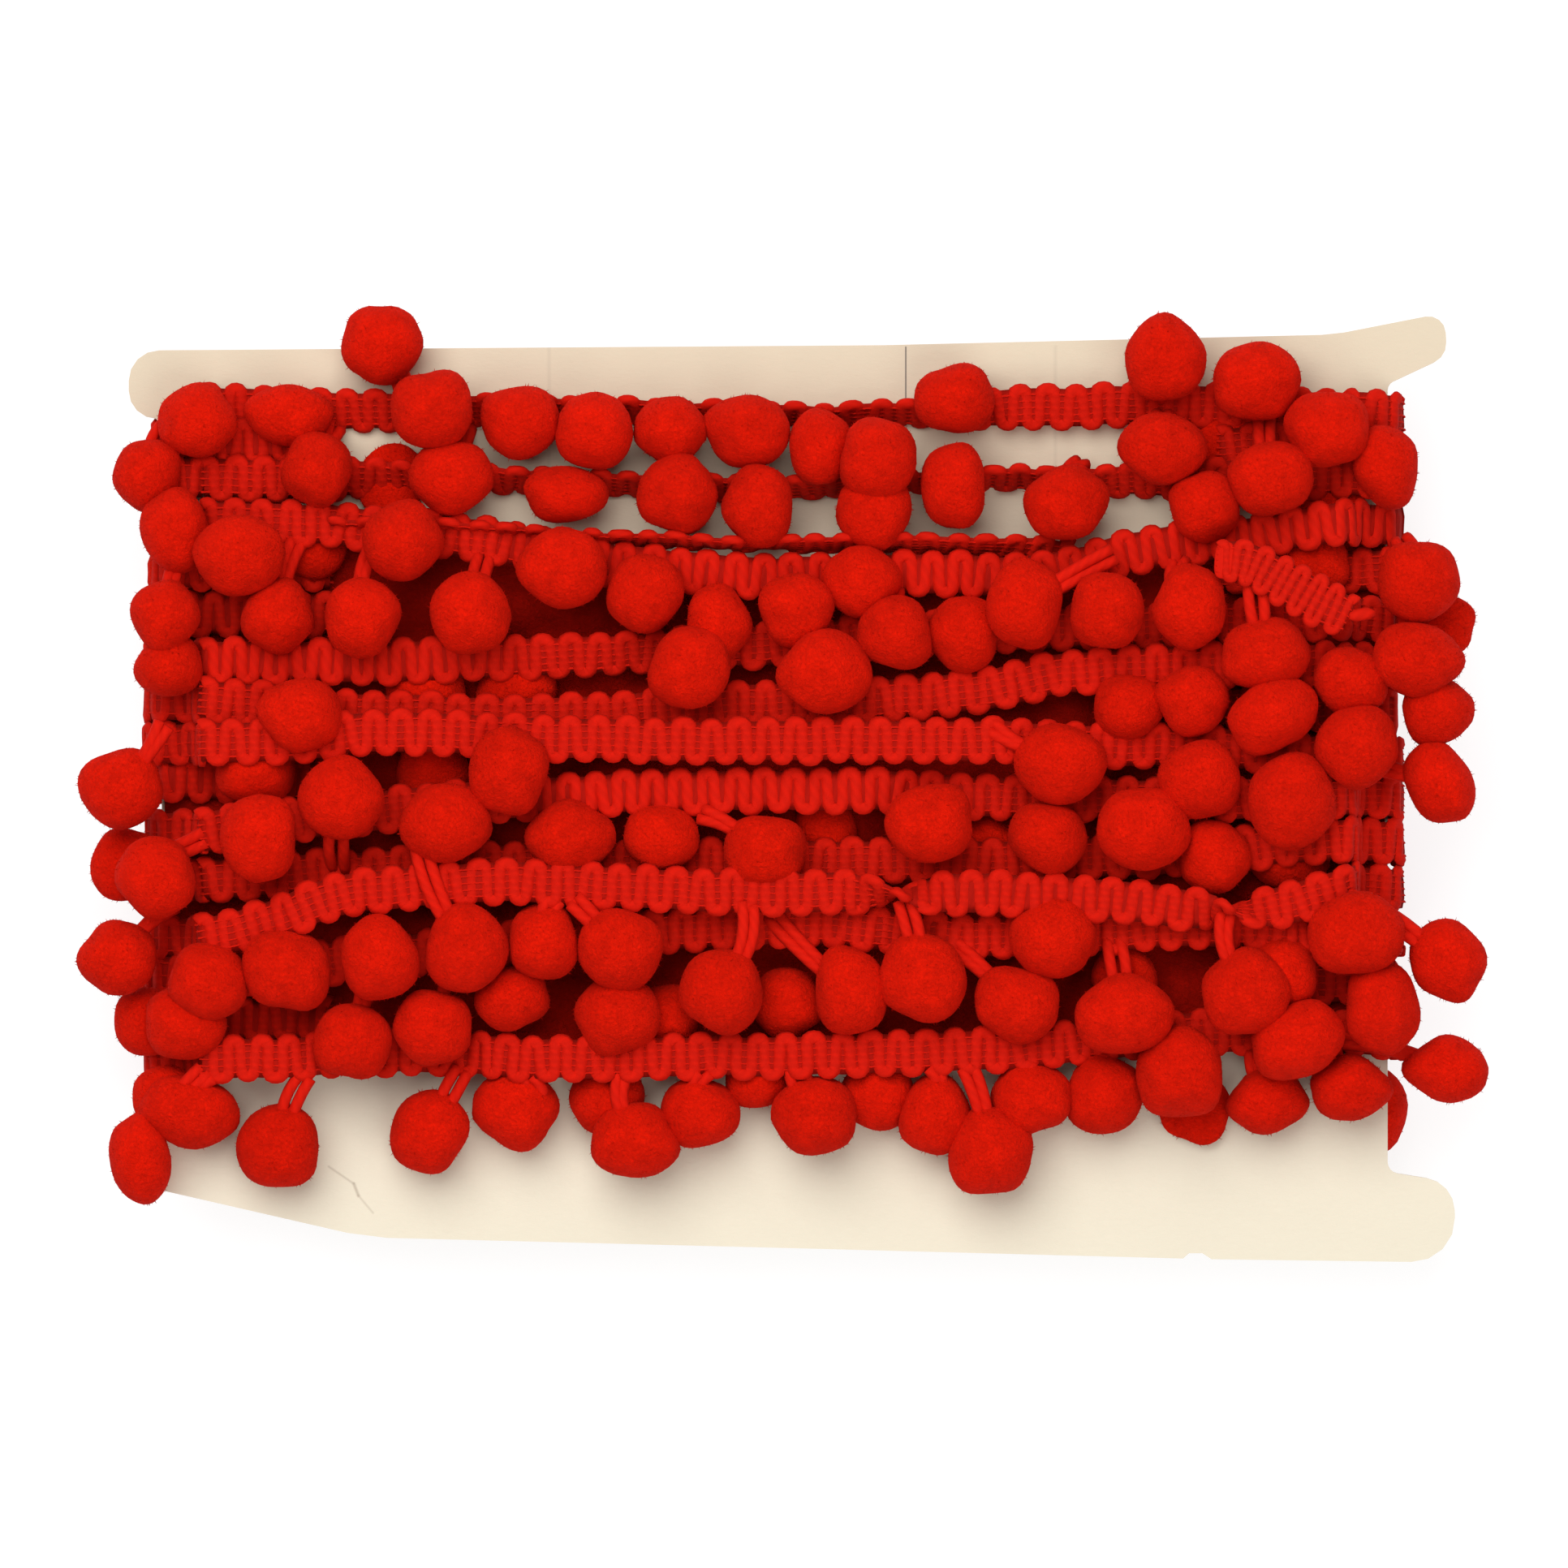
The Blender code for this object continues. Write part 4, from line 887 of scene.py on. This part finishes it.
def back_bed(x, y, mound, edge):
    """The inner and outer heights of the bed of balls behind the card."""
    inner = np.full(x.shape, CARD_BACK - BED_GAP)
    return inner, inner - BED_THICK - edge * (CARD_BACK - BED_GAP - BED_FLOOR - HEAP_RADIUS + mound)


def make_gimp(name, stretches, leg, samples, sides, finish):
    """The gimp cords of these stretches of strip, each given as (strip, start, end)."""
    dice = np.random.default_rng(SEED + 4)
    surface = Surface()
    wide = CORD_HALF_WIDE * leg / LEG
    for line, start, end in stretches:
        path, out, strip = gimp(line, start, end, leg, samples, dice)
        tube(surface, path, out, wide, CORD_HALF_THICK, sides, dice.uniform(*CORD_TONES), strip=strip)
    return surface.build(name, finish)


def make_web(name, stretches, finish):
    """The flat weave that holds the legs together: a thin oval strip along the middle of each stretch."""
    surface = Surface()
    for line, start, end in stretches:
        along = np.arange(start + WEB_SHORT, end - WEB_SHORT, LEG / 2)
        path, out = on_ribbon(line, along, along * 0, along * 0)
        tube(surface, path, out, WEB_HALF_WIDE, WEB_HALF_THICK, WEB_SIDES)
    return surface.build(name, finish)


def bound_stretches(line, start, end):
    """The parts of a stretch on which the binding threads face outwards."""
    at = np.arange(start, end, 1.0)
    shown = np.interp(at, line.along, line.face) > THREAD_FACE
    changes = np.flatnonzero(np.diff(np.concatenate(([0], shown, [0]))))
    return [(at[first], at[after - 1]) for first, after in changes.reshape(-1, 2)]


def make_bindings(name, stretches, leg, rows, samples, finish):
    """The binding threads of these stretches of strip, in this many rows across it."""
    dice = np.random.default_rng(SEED + 5)
    surface = Surface()
    parts = [(line, *part) for line, start, end in stretches for part in bound_stretches(line, start, end)]
    for line, first, last in parts:
        for row in np.linspace(-THREAD_REACH, THREAD_REACH, rows):
            if last - first > THREAD_LEAST:
                path, out = binding(line, row, first, last, leg, samples)
                tone = dice.uniform(*CORD_TONES)
                tube(surface, path, out, THREAD_HALF, THREAD_HALF, THREAD_SIDES, tone)
    return surface.build(name, finish)


def make_tips(name, line, finish):
    """The loose strip's two ends: a pressed fused patch at its start and a short stub of cord at its end.

    The patch is a ball whose directions are raised to one low power, which squares it, and then stretched.
    """
    surface = Surface()
    directions, quads = cube_sphere(TIP_STEPS)
    ahead = unit(line.middle[4] - line.middle[0])
    patch = np.sign(directions) * np.abs(directions) ** TIP_SQUARE * TIP_HALVES
    patch = patch @ np.stack((ahead, line.side[0], line.out[0]))
    surface.add(line.middle[0] + ahead * TIP_IN + patch, [quads])
    t = np.linspace(0, 1, STUB_STEPS)[:, None]
    stub = line.middle[-1] + np.array(STUB_FROM) * (1 - t) + np.array(STUB_TO) * t
    tube(surface, stub, line.out[-1], *STUB_HALVES, STUB_SIDES, taper=STUB_TAPER)
    return surface.build(name, finish)


def put(tree, node, inputs):
    """Gives a node's inputs, by name or number, their values or links from other nodes' outputs."""
    for key, value in inputs.items():
        if isinstance(value, bpy.types.NodeSocket):
            tree.links.new(value, node.inputs[key])
        else:
            node.inputs[key].default_value = value


def add_node(tree, kind, inputs=None, output=0, **settings):
    """The output of a new node with these inputs and settings."""
    node = tree.nodes.new("ShaderNode" + kind)
    for name, value in settings.items():
        setattr(node, name, value)
    put(tree, node, inputs or {})
    return node.outputs[output]


def reckon(tree, operation, *terms, kind="Math", output=0, **settings):
    """The result of a sum, on plain numbers or, where the kind is VectorMath, on vectors."""
    return add_node(tree, kind, dict(enumerate(terms)), output, operation=operation, **settings)


def mean(tree, share, first, second):
    """A number between two others, at this share from the first."""
    return add_node(tree, "Mix", {0: share, 2: first, 3: second}, data_type="FLOAT")


def mixed(tree, share, first, second):
    """A colour between two others, each a plain colour or an output, at this share from the first."""
    ends = [end if isinstance(end, bpy.types.NodeSocket) else (*end, 1) for end in (first, second)]
    return add_node(tree, "Mix", {0: share, 6: ends[0], 7: ends[1]}, 2, data_type="RGBA")


def shaded(colour, *shares):
    """The colour made darker to these shares of itself, one after another."""
    return tuple(channel * math.prod(shares) for channel in colour)


def parted(tree, vector):
    """The three parts of a vector."""
    return add_node(tree, "SeparateXYZ", {0: vector}).node.outputs


def new_group(name, inputs, outputs):
    """A shader node group: an input without a default takes a vector, and all other sockets take numbers."""
    group = bpy.data.node_groups.new(name, "ShaderNodeTree")
    for label, default in inputs.items():
        kind = "NodeSocketVector" if default is None else "NodeSocketFloat"
        socket = group.interface.new_socket(name=label, in_out="INPUT", socket_type=kind)
        if default is not None:
            socket.default_value = default
    for label in outputs:
        group.interface.new_socket(name=label, in_out="OUTPUT", socket_type="NodeSocketFloat")
    return group, group.nodes.new("NodeGroupInput").outputs, group.nodes.new("NodeGroupOutput")


def nap_group(name):
    """The felted nap: clouded tone from two sizes of noise, and the height of its fine tufts."""
    group, given, result = new_group(
        name, {"Vector": None, "Tuft Scale": 2600.0, "Cloud Scale": 260.0}, ("Tone", "Height"))
    tufts = add_node(group, "TexNoise", {"Vector": given["Vector"], "Scale": given["Tuft Scale"],
                                         "Detail": 4.0, "Roughness": 0.7, "Distortion": 0.6})
    clouds = add_node(group, "TexNoise", {"Vector": given["Vector"], "Scale": given["Cloud Scale"],
                                          "Detail": 2.0, "Roughness": 0.5})
    put(group, result, {"Tone": mean(group, 0.45, clouds, tufts), "Height": tufts})
    return group


def ply_group(name):
    """The ply of a cord: slanting ridges round it, from its own length and turn on the UV map."""
    group, given, result = new_group(name, {"Surface": None, "Turns per mm": 0.9, "Plies": 3.0}, ("Height",))
    along, around, _ = parted(group, given["Surface"])
    total = reckon(group, "ADD", reckon(group, "MULTIPLY", along, given["Turns per mm"]),
                   reckon(group, "MULTIPLY", around, given["Plies"]))
    wave = reckon(group, "SINE", reckon(group, "MULTIPLY", total, TAU))
    put(group, result, {"Height": reckon(group, "MULTIPLY_ADD", wave, 0.5, 0.5)})
    return group


def line_group(name):
    """A straight line between two places in the XY plane: one on it and none beyond its width, as a mask."""
    group, given, result = new_group(
        name, {"Vector": None, "Start": None, "End": None, "Width": 0.0003}, ("Mask",))

    def vector(operation, *terms, **settings):
        return reckon(group, operation, *terms, kind="VectorMath", **settings)

    run = vector("SUBTRACT", given["End"], given["Start"])
    off = vector("SUBTRACT", vector("MULTIPLY", given["Vector"], (1, 1, 0)), given["Start"])
    share = reckon(group, "DIVIDE", vector("DOT_PRODUCT", off, run, output=1),
                   vector("DOT_PRODUCT", run, run, output=1), use_clamp=True)
    foot = add_node(group, "VectorMath", {0: run, "Scale": share}, operation="SCALE")
    mask = add_node(group, "MapRange", {"Value": vector("DISTANCE", off, foot, output=1),
                                        "From Max": given["Width"], "To Min": 1.0, "To Max": 0.0},
                    interpolation_type="SMOOTHSTEP")
    put(group, result, {"Mask": mask})
    return group


def bead_group(name):
    """The beads that the binding threads draw the legs into: one at a bead's middle, none between two."""
    group, given, result = new_group(name, {"Strip": None, "Spacing": 1.05}, ("Height",))
    across, _, face = parted(group, given["Strip"])
    turn = reckon(group, "MULTIPLY", reckon(group, "DIVIDE", across, given["Spacing"]), TAU)
    dip = reckon(group, "MULTIPLY_ADD", reckon(group, "COSINE", turn), -0.5, 0.5)
    within = reckon(group, "LESS_THAN", reckon(group, "ABSOLUTE", across), BEAD_REACH)
    kept = reckon(group, "MULTIPLY", reckon(group, "MULTIPLY", dip, face), within)
    put(group, result, {"Height": reckon(group, "SUBTRACT", 1.0, kept)})
    return group


EFFECTS = {"Fibre nap": nap_group, "Cord ply": ply_group, "Line mask": line_group, "Bound beads": bead_group}


def effect(tree, name, inputs):
    """The outputs of a shared node group, built the first time that a material asks for it."""
    node = tree.nodes.new("ShaderNodeGroup")
    node.node_tree = bpy.data.node_groups.get(name) or EFFECTS[name](name)
    put(tree, node, inputs)
    return node.outputs


def new_material(name):
    """A material with nodes: its tree, and an output that gives the object's own coordinates."""
    made = bpy.data.materials.new(name)
    made.use_nodes = True
    return made, made.node_tree, add_node(made.node_tree, "TexCoord", output="Object")


def bumped(tree, height, strength, depth):
    """The normal of a surface with this relief, its depth in metres."""
    return add_node(tree, "Bump", {"Height": height, "Strength": strength, "Distance": depth})


def raised(yarn, share, roughness):
    """The sheen of raised fibres, as settings of the shader."""
    return {"Sheen Weight": yarn.sheen * share, "Sheen Roughness": roughness,
            "Sheen Tint": (*yarn.sheen_colour, 1)}


def felt_material(yarn, name, shade):
    """Felted yarn: a clouded red with fine tufts and the soft sheen of raised fibres."""
    made, tree, place = new_material(name)
    nap = effect(tree, "Fibre nap", {"Vector": place, "Tuft Scale": 1700.0, "Cloud Scale": 420.0})
    clouds = add_node(tree, "MapRange", {"Value": nap["Tone"], "From Min": 0.33, "From Max": 0.67})
    share = mean(tree, 0.3, clouds, add_node(tree, "Attribute", output="Fac", attribute_name="tone"))
    # A shade under 1 darkens the whole felt: for the inner felt this is painted shade
    clouded = mixed(tree, share, *(shaded(yarn.colour, end, shade) for end in FELT_SHADES))
    put(tree, tree.nodes["Principled BSDF"], {
        "Base Color": clouded,
        "Normal": bumped(tree, nap["Height"], 0.9, 0.0006),
        "Roughness": 0.95, "Specular IOR Level": 0.05, **raised(yarn, shade, 0.45)})
    return made


def cord_material(yarn, name, turns, plies, depth, shade):
    """Twisted yarn: slanting plies, a fine nap on a clouded red, and beads where threads bind it."""
    made, tree, place = new_material(name)
    nap = effect(tree, "Fibre nap", {"Vector": place, "Tuft Scale": 3800.0})
    surface = add_node(tree, "UVMap", uv_map="surface")
    ply = effect(tree, "Cord ply", {"Surface": surface, "Turns per mm": turns, "Plies": plies})["Height"]
    strip = add_node(tree, "Attribute", output="Vector", attribute_name="strip")
    bead = effect(tree, "Bound beads", {"Strip": strip, "Spacing": BEAD})["Height"]
    # The colour mixes random clouds with the ply: lighter on its ridges, darker in its grooves as painted
    # shade
    share = mean(tree, 0.4, nap["Tone"], ply)
    twisted = mixed(tree, share, *(shaded(yarn.colour, end, shade) for end in TWIST_SHADES))
    grain = mean(tree, 0.5, nap["Height"], ply)
    # Between the beads the yarn is darkened as painted shade, beside a real dip in the bump
    put(tree, tree.nodes["Principled BSDF"], {
        "Base Color": mixed(tree, bead, shaded(yarn.colour, BEAD_SHADE, shade), twisted),
        "Normal": bumped(tree, reckon(tree, "MULTIPLY_ADD", bead, BEAD_RELIEF, grain), 0.6, depth),
        "Roughness": 0.85, "Specular IOR Level": 0.1, **raised(yarn, 0.6, 0.4)})
    return made


def line_mask(tree, place, start, end, wide):
    """The mask of a straight line on the card, its ends and width in millimetres."""
    return effect(tree, "Line mask", {
        "Vector": place, "Start": (start[0] * MM, start[1] * MM, 0), "End": (end[0] * MM, end[1] * MM, 0),
        "Width": wide * MM})["Mask"]


def card_material(card, name):
    """Cream paperboard with pulp, one printed rule and a cut edge, and painted shade at its top and soft
    creases.
    """
    made, tree, place = new_material(name)
    _, y, z = parted(tree, place)
    # Painted shade: the card turns darker towards its top
    top_shade_share = add_node(tree, "MapRange", {"Value": y, "From Min": TOP_SHADE_FROM, "From Max": TOP_SHADE_TO},
                      interpolation_type="SMOOTHSTEP")
    grain = add_node(tree, "Mapping", {"Vector": place, "Scale": (0.45, 1.0, 1.0)})
    pulp = effect(tree, "Fibre nap", {"Vector": grain, "Tuft Scale": 1500.0, "Cloud Scale": 60.0})
    mottle = add_node(tree, "MapRange", {"Value": pulp["Tone"], "From Min": 0.3, "From Max": 0.7,
                                         "To Max": card.mottle})
    colour = mixed(tree, top_shade_share, card.lower_colour, card.shaded_top_colour)
    colour = mixed(tree, mottle, colour, card.stain_colour)
    height = pulp["Height"]
    # Each crease is darkened as painted shade along it, beside a real dent in the bump
    for start, end, wide, depth in CREASES:
        faint = reckon(tree, "MULTIPLY", line_mask(tree, place, start, end, wide), depth)
        colour = mixed(tree, faint, colour, card.crease_shade_colour)
        height = reckon(tree, "SUBTRACT", height, faint)
    colour = mixed(tree, line_mask(tree, place, *RULE), colour, INK)
    level = reckon(tree, "ABSOLUTE", reckon(tree, "SUBTRACT", z, CARD_MIDDLE * MM))
    edge = reckon(tree, "LESS_THAN", level, (CARD_FRONT - CARD_MIDDLE - EDGE_MARGIN) * MM)
    put(tree, tree.nodes["Principled BSDF"], {
        "Base Color": mixed(tree, edge, colour, card.edge_colour),
        "Normal": bumped(tree, height, 0.35, 0.00015), "Roughness": 0.72, "Specular IOR Level": 0.3})
    return made


def floor_material(name):
    """The stage's floor: even white paper with a faint grain."""
    made, tree, place = new_material(name)
    grain = effect(tree, "Fibre nap", {"Vector": place, "Tuft Scale": 400.0, "Cloud Scale": 8.0})["Tone"]
    put(tree, tree.nodes["Principled BSDF"], {
        "Base Color": mixed(tree, grain, *FLOOR_COLOURS), "Roughness": 0.9,
        "Emission Color": (1, 1, 1, 1), "Emission Strength": FLOOR_GLOW})
    return made


def yarn_finish(context, name):
    """The finish of the yarn that has this name, made the first time that a piece asks for it."""
    yarn = context.scene.fringe_yarn
    if name in FELTS:
        return bpy.data.materials.get(name) or felt_material(yarn, name, FELTS[name])
    return bpy.data.materials.get(name) or cord_material(yarn, name, *TWISTS[name])


def trimmed(piece):
    """Stops if a piece came out empty, and hides the model's wound trim, which the pieces dress."""
    if not piece.data.polygons:
        raise RuntimeError(f"{piece.name} has no faces")
    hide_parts("wound_trim")
    return piece


def hue(name, description, default):
    """A colour that a user may change."""
    return FloatVectorProperty(name=name, description=description, default=default, size=3, min=0.0, max=1.0,
                               subtype="COLOR")


def number(name, description, default, least, most):
    """A whole number that a user may change."""
    return IntProperty(name=name, description=description, default=default, min=least, max=most)


def amount(name, description, default, least, most, **kind):
    """A size, power or strength that a user may change."""
    return FloatProperty(name=name, description=description, default=default, min=least, max=most, **kind)


class FringeYarn(PropertyGroup):
    """The yarn's colour and the sheen of its raised fibres."""

    colour: hue("Colour", "Colour of the yarn before light", (0.56, 0.0065, 0.0006))
    sheen: amount("Sheen", "Weight of the sheen of raised fibres", 0.1, 0.0, 1.0, subtype="FACTOR")
    sheen_colour: hue("Sheen Colour", "Colour of the light that raised fibres catch", (1.0, 0.07, 0.03))


class FringeCard(PropertyGroup):
    """The paperboard's colours."""

    # The card's colour darkened as painted shade near its top
    shaded_top_colour: hue("Upper Colour", "Colour near the card's top", (0.635, 0.545, 0.405))
    lower_colour: hue("Lower Colour", "Colour near the card's foot", (0.71, 0.655, 0.52))
    stain_colour: hue("Stain Colour", "Colour of the pulp's darker clouds", (0.52, 0.44, 0.33))
    # The colour of the painted shade along a crease
    crease_shade_colour: hue("Crease Colour", "Colour along a soft crease", (0.40, 0.34, 0.26))
    edge_colour: hue("Edge Colour", "Colour of the cut edge", (0.44, 0.35, 0.24))
    mottle: amount("Mottle", "Strength of the pulp's clouds", 0.16, 0.0, 1.0, subtype="FACTOR")


class FringeBraid(PropertyGroup):
    """How finely the braid is made and how far it strays."""

    front_samples: number("Front Samples", "Steps along each leg of the gimp in front", 9, 5, 16)
    front_sides: number("Front Sides", "Sides of the gimp cord in front", 7, 4, 12)
    back_samples: number("Back Samples", "Steps along each leg of the gimp behind", 8, 5, 16)
    back_sides: number("Back Sides", "Sides of the gimp cord behind", 5, 4, 12)
    front_threads: number("Front Threads", "Rows of binding threads in front", 5, 1, 7)
    back_threads: number("Back Threads", "Rows of binding threads behind", 3, 1, 7)
    wander: amount("Wander", "How far the strip strays from its run, in millimetres", 0.5, 0.0, 2.0)


class FringeBalls(PropertyGroup):
    """How finely the balls are made and how long their raised fibres are."""

    front_steps: number("Front Steps", "Steps along each side of a front ball", 9, 4, 14)
    back_steps: number("Back Steps", "Steps along each side of a back ball", 7, 4, 14)
    front_fibres: number("Front Fibres", "Raised fibres on each front ball", 250, 0, 400)
    back_fibres: number("Back Fibres", "Raised fibres on each back ball", 100, 0, 400)
    fibre_length: amount("Fibre Length", "Length of the longest raised fibre, in millimetres", 0.6, 0.1, 3.0)
    fibre_half: amount("Fibre Half Width", "Half the width of a fibre, in millimetres", 0.085, 0.01, 0.3)


class FringeStage(PropertyGroup):
    """The camera and the lights."""

    distance: amount("Camera Distance", "Height of the camera over the winding", 2.2, 0.5, 10.0,
                     unit="LENGTH", subtype="DISTANCE")
    key: amount("Key Power", "Power of the large light from the upper left", 15.5, 0.0, 500.0, unit="POWER")
    fill: amount("Fill Power", "Power of the soft light from the lower right", 4.5, 0.0, 500.0, unit="POWER")
    world: amount("World Strength", "Strength of the even white light all round", 0.4, 0.0, 3.0)


class FRINGE_OT_card(Operator):
    """Gives the paperboard card its finish"""

    bl_idname = "fringe.card"
    bl_label = "Finish Card"

    def execute(self, context):
        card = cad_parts["card"]
        if not card.material_slots:
            raise RuntimeError("the card has no material slot")
        name = "cream paperboard"
        finish = bpy.data.materials.get(name) or card_material(context.scene.fringe_card, name)
        for place in card.material_slots:
            place.link = "OBJECT"
            place.material = finish
        return {"FINISHED"}


class FRINGE_OT_beds(Operator):
    """Makes the inner layers of the winding, on the card's front and back"""

    bl_idname = "fringe.beds"
    bl_label = "Make Inner Layers"

    def execute(self, context):
        along = np.linspace(RECESS_LEFT + BED_SHORT, RECESS_RIGHT - BED_SHORT, BED_COLUMNS)
        # The inner layers wear the felt darkened as painted shade
        finish = yarn_finish(context, "inner felt in painted shade")
        front = (along_run(RUNS["I"], "y", along) + FRONT_BED_IN,
                 along_run(RUNS["C"], "y", along) - FRONT_BED_IN)
        back = [ragged(y, along) for y in BACK_BED]
        trimmed(make_inner("inner_front", along, *front, front_bed, finish))
        trimmed(make_inner("inner_back", along, *back, back_bed, finish))
        return {"FINISHED"}


class FRINGE_OT_braid(Operator):
    """Makes the gimp cord of the wound strip and the threads that bind it"""

    bl_idname = "fringe.braid"
    bl_label = "Make Braid"

    def execute(self, context):
        braid = context.scene.fringe_braid
        turns = turn_ribbons(braid.wander)
        front = [(line, 0, passing) for line, passing in turns]
        back = [(line, passing, line.along[-1]) for line, passing in turns]
        inner = edge_turns(braid.wander) + buried_strips(braid.wander)
        yarn, thread = yarn_finish(context, "gimp yarn"), yarn_finish(context, "binding thread")
        trimmed(make_gimp("gimp_front", front, LEG, braid.front_samples, braid.front_sides, yarn))
        trimmed(make_gimp("gimp_back", back, LEG, braid.back_samples, braid.back_sides, yarn))
        trimmed(make_gimp("gimp_inner", inner, LEG, braid.back_samples, braid.back_sides, yarn))
        # The web between the legs wears the yarn darkened as painted shade
        trimmed(make_web("web", front + back + inner, yarn_finish(context, "web yarn in painted shade")))
        rows, samples = braid.front_threads, FRONT_THREAD_SAMPLES
        trimmed(make_bindings("binding_front", front + inner, LEG, rows, samples, thread))
        rows, samples = braid.back_threads, BACK_THREAD_SAMPLES
        trimmed(make_bindings("binding_back", back, LEG, rows, samples, thread))
        return {"FINISHED"}


class FRINGE_OT_pompoms(Operator):
    """Makes the felt balls, their raised fibres and the pairs of cords that they hang from"""

    bl_idname = "fringe.pompoms"
    bl_label = "Make Pompoms"

    def execute(self, context):
        balls = context.scene.fringe_balls
        dice = random.Random(SEED)
        front = front_pompoms(FRONT_BALLS, dice)
        back = pompoms_of(back_pompoms(dice))
        front = pompoms_of(front + front_pompoms(DEEP_BALLS, random.Random(SEED)))
        finish, cord = yarn_finish(context, "red felt"), yarn_finish(context, "ball cord")
        length, half = balls.fibre_length, balls.fibre_half
        trimmed(make_pompoms("pompoms_front", front, balls.front_steps, finish))
        trimmed(make_pompoms("pompoms_back", back, balls.back_steps, finish))
        trimmed(make_pile("pile_front", front, balls.front_fibres, length, half, finish))
        trimmed(make_pile("pile_back", back, balls.back_fibres, length, half, finish))
        trimmed(make_ball_cords("ball_cords_front", front, cord))
        trimmed(make_ball_cords("ball_cords_back", back, cord))
        return {"FINISHED"}


class FRINGE_OT_loose_end(Operator):
    """Makes the loose cut end of the strip, which lies over the winding, and its fused tips"""

    bl_idname = "fringe.loose_end"
    bl_label = "Make Loose End"

    def execute(self, context):
        rows = [(x, y, CARD_FRONT + lift, 0, 1) for x, y, lift, _ in LOOSE_END]
        line = ribbon(rows, [wide for *_, wide in LOOSE_END], 0, SEED)
        whole = [(line, 0, line.along[-1])]
        yarn, thread = yarn_finish(context, "gimp yarn"), yarn_finish(context, "binding thread")
        pieces = [
            make_gimp("loose_gimp", whole, LOOSE_LEG, LOOSE_SAMPLES, LOOSE_SIDES, yarn),
            make_web("loose_web", whole, yarn_finish(context, "web yarn in painted shade")),
            make_bindings("loose_binding", whole, LOOSE_LEG, LOOSE_THREADS, LOOSE_THREAD_SAMPLES, thread),
            make_tips("loose_tips", line, yarn),
        ]
        for piece in pieces:
            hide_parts("loose_end")
        return {"FINISHED"}


class FRINGE_OT_stage(Operator):
    """Sets the floor, the lights and the camera straight above the card"""

    bl_idname = "fringe.stage"
    bl_label = "Set Stage"

    def execute(self, context):
        scene = context.scene
        stage = scene.fringe_stage

        def stand(name, data, place=(0, 0, 0)):
            made = bpy.data.objects.new(name, data)
            made.location = place
            scene.collection.objects.link(made)
            return made

        floor = stand("floor", bpy.data.meshes.new("floor"))
        corners = [(FLOOR_HALF * x, FLOOR_HALF * y, 0) for x, y in ((-1, -1), (1, -1), (1, 1), (-1, 1))]
        floor.data.from_pydata(corners, [], [(0, 1, 2, 3)])
        floor.data.materials.append(floor_material("white floor"))
        aim = Vector((0, 0, (CARD_FRONT + REFERENCE_OVER_CARD) * MM))
        for name, place, size, power in (("key", KEY_PLACE, KEY_SIZE, stage.key),
                                         ("fill", FILL_PLACE, FILL_SIZE, stage.fill)):
            lamp = bpy.data.lights.new(name, "AREA")
            lamp.shape = "DISK"
            lamp.size = size
            lamp.energy = power
            held = stand(name, lamp, place)
            held.rotation_euler = (aim - Vector(place)).to_track_quat("-Z", "Y").to_euler()
        lens = bpy.data.cameras.new("camera")
        lens.sensor_width = SENSOR
        lens.lens = SENSOR * stage.distance / (FRAME_WIDE * MM)
        lens.clip_end = 10
        scene.camera = stand("camera", lens, (0, 0, aim.z + stage.distance))
        world = bpy.data.worlds.new("even light")
        world.use_nodes = True
        put(world.node_tree, world.node_tree.nodes["Background"],
            {"Color": (1, 1, 1, 1), "Strength": stage.world})
        scene.world = world
        scene.view_settings.view_transform = "Standard"
        return {"FINISHED"}


class FRINGE_PT_sidebar(Panel):
    """Lists the steps that dress the wound fringe"""

    bl_label = "Wound Ball Fringe"
    bl_idname = "FRINGE_PT_sidebar"
    bl_space_type = "VIEW_3D"
    bl_region_type = "UI"
    bl_category = "Fringe"

    def draw(self, context):
        for step in STEPS:
            self.layout.operator(step.bl_idname)


SETTINGS = {"fringe_yarn": FringeYarn, "fringe_card": FringeCard, "fringe_braid": FringeBraid,
            "fringe_balls": FringeBalls, "fringe_stage": FringeStage}
STEPS = (FRINGE_OT_card, FRINGE_OT_beds, FRINGE_OT_braid, FRINGE_OT_pompoms, FRINGE_OT_loose_end,
         FRINGE_OT_stage)


def register():
    """Registers the settings, the steps and the sidebar."""
    for kind in (*SETTINGS.values(), *STEPS, FRINGE_PT_sidebar):
        bpy.utils.register_class(kind)
    for name, kind in SETTINGS.items():
        setattr(bpy.types.Scene, name, PointerProperty(type=kind))


def unregister():
    """Takes the settings, the steps and the sidebar away again."""
    for name in SETTINGS:
        delattr(bpy.types.Scene, name)
    for kind in reversed((*SETTINGS.values(), *STEPS, FRINGE_PT_sidebar)):
        bpy.utils.unregister_class(kind)


def main():
    """Registers the steps and runs them in order."""
    register()
    bpy.ops.fringe.card()
    bpy.ops.fringe.beds()
    bpy.ops.fringe.braid()
    bpy.ops.fringe.pompoms()
    bpy.ops.fringe.loose_end()
    bpy.ops.fringe.stage()


if __name__ == "__main__":
    main()
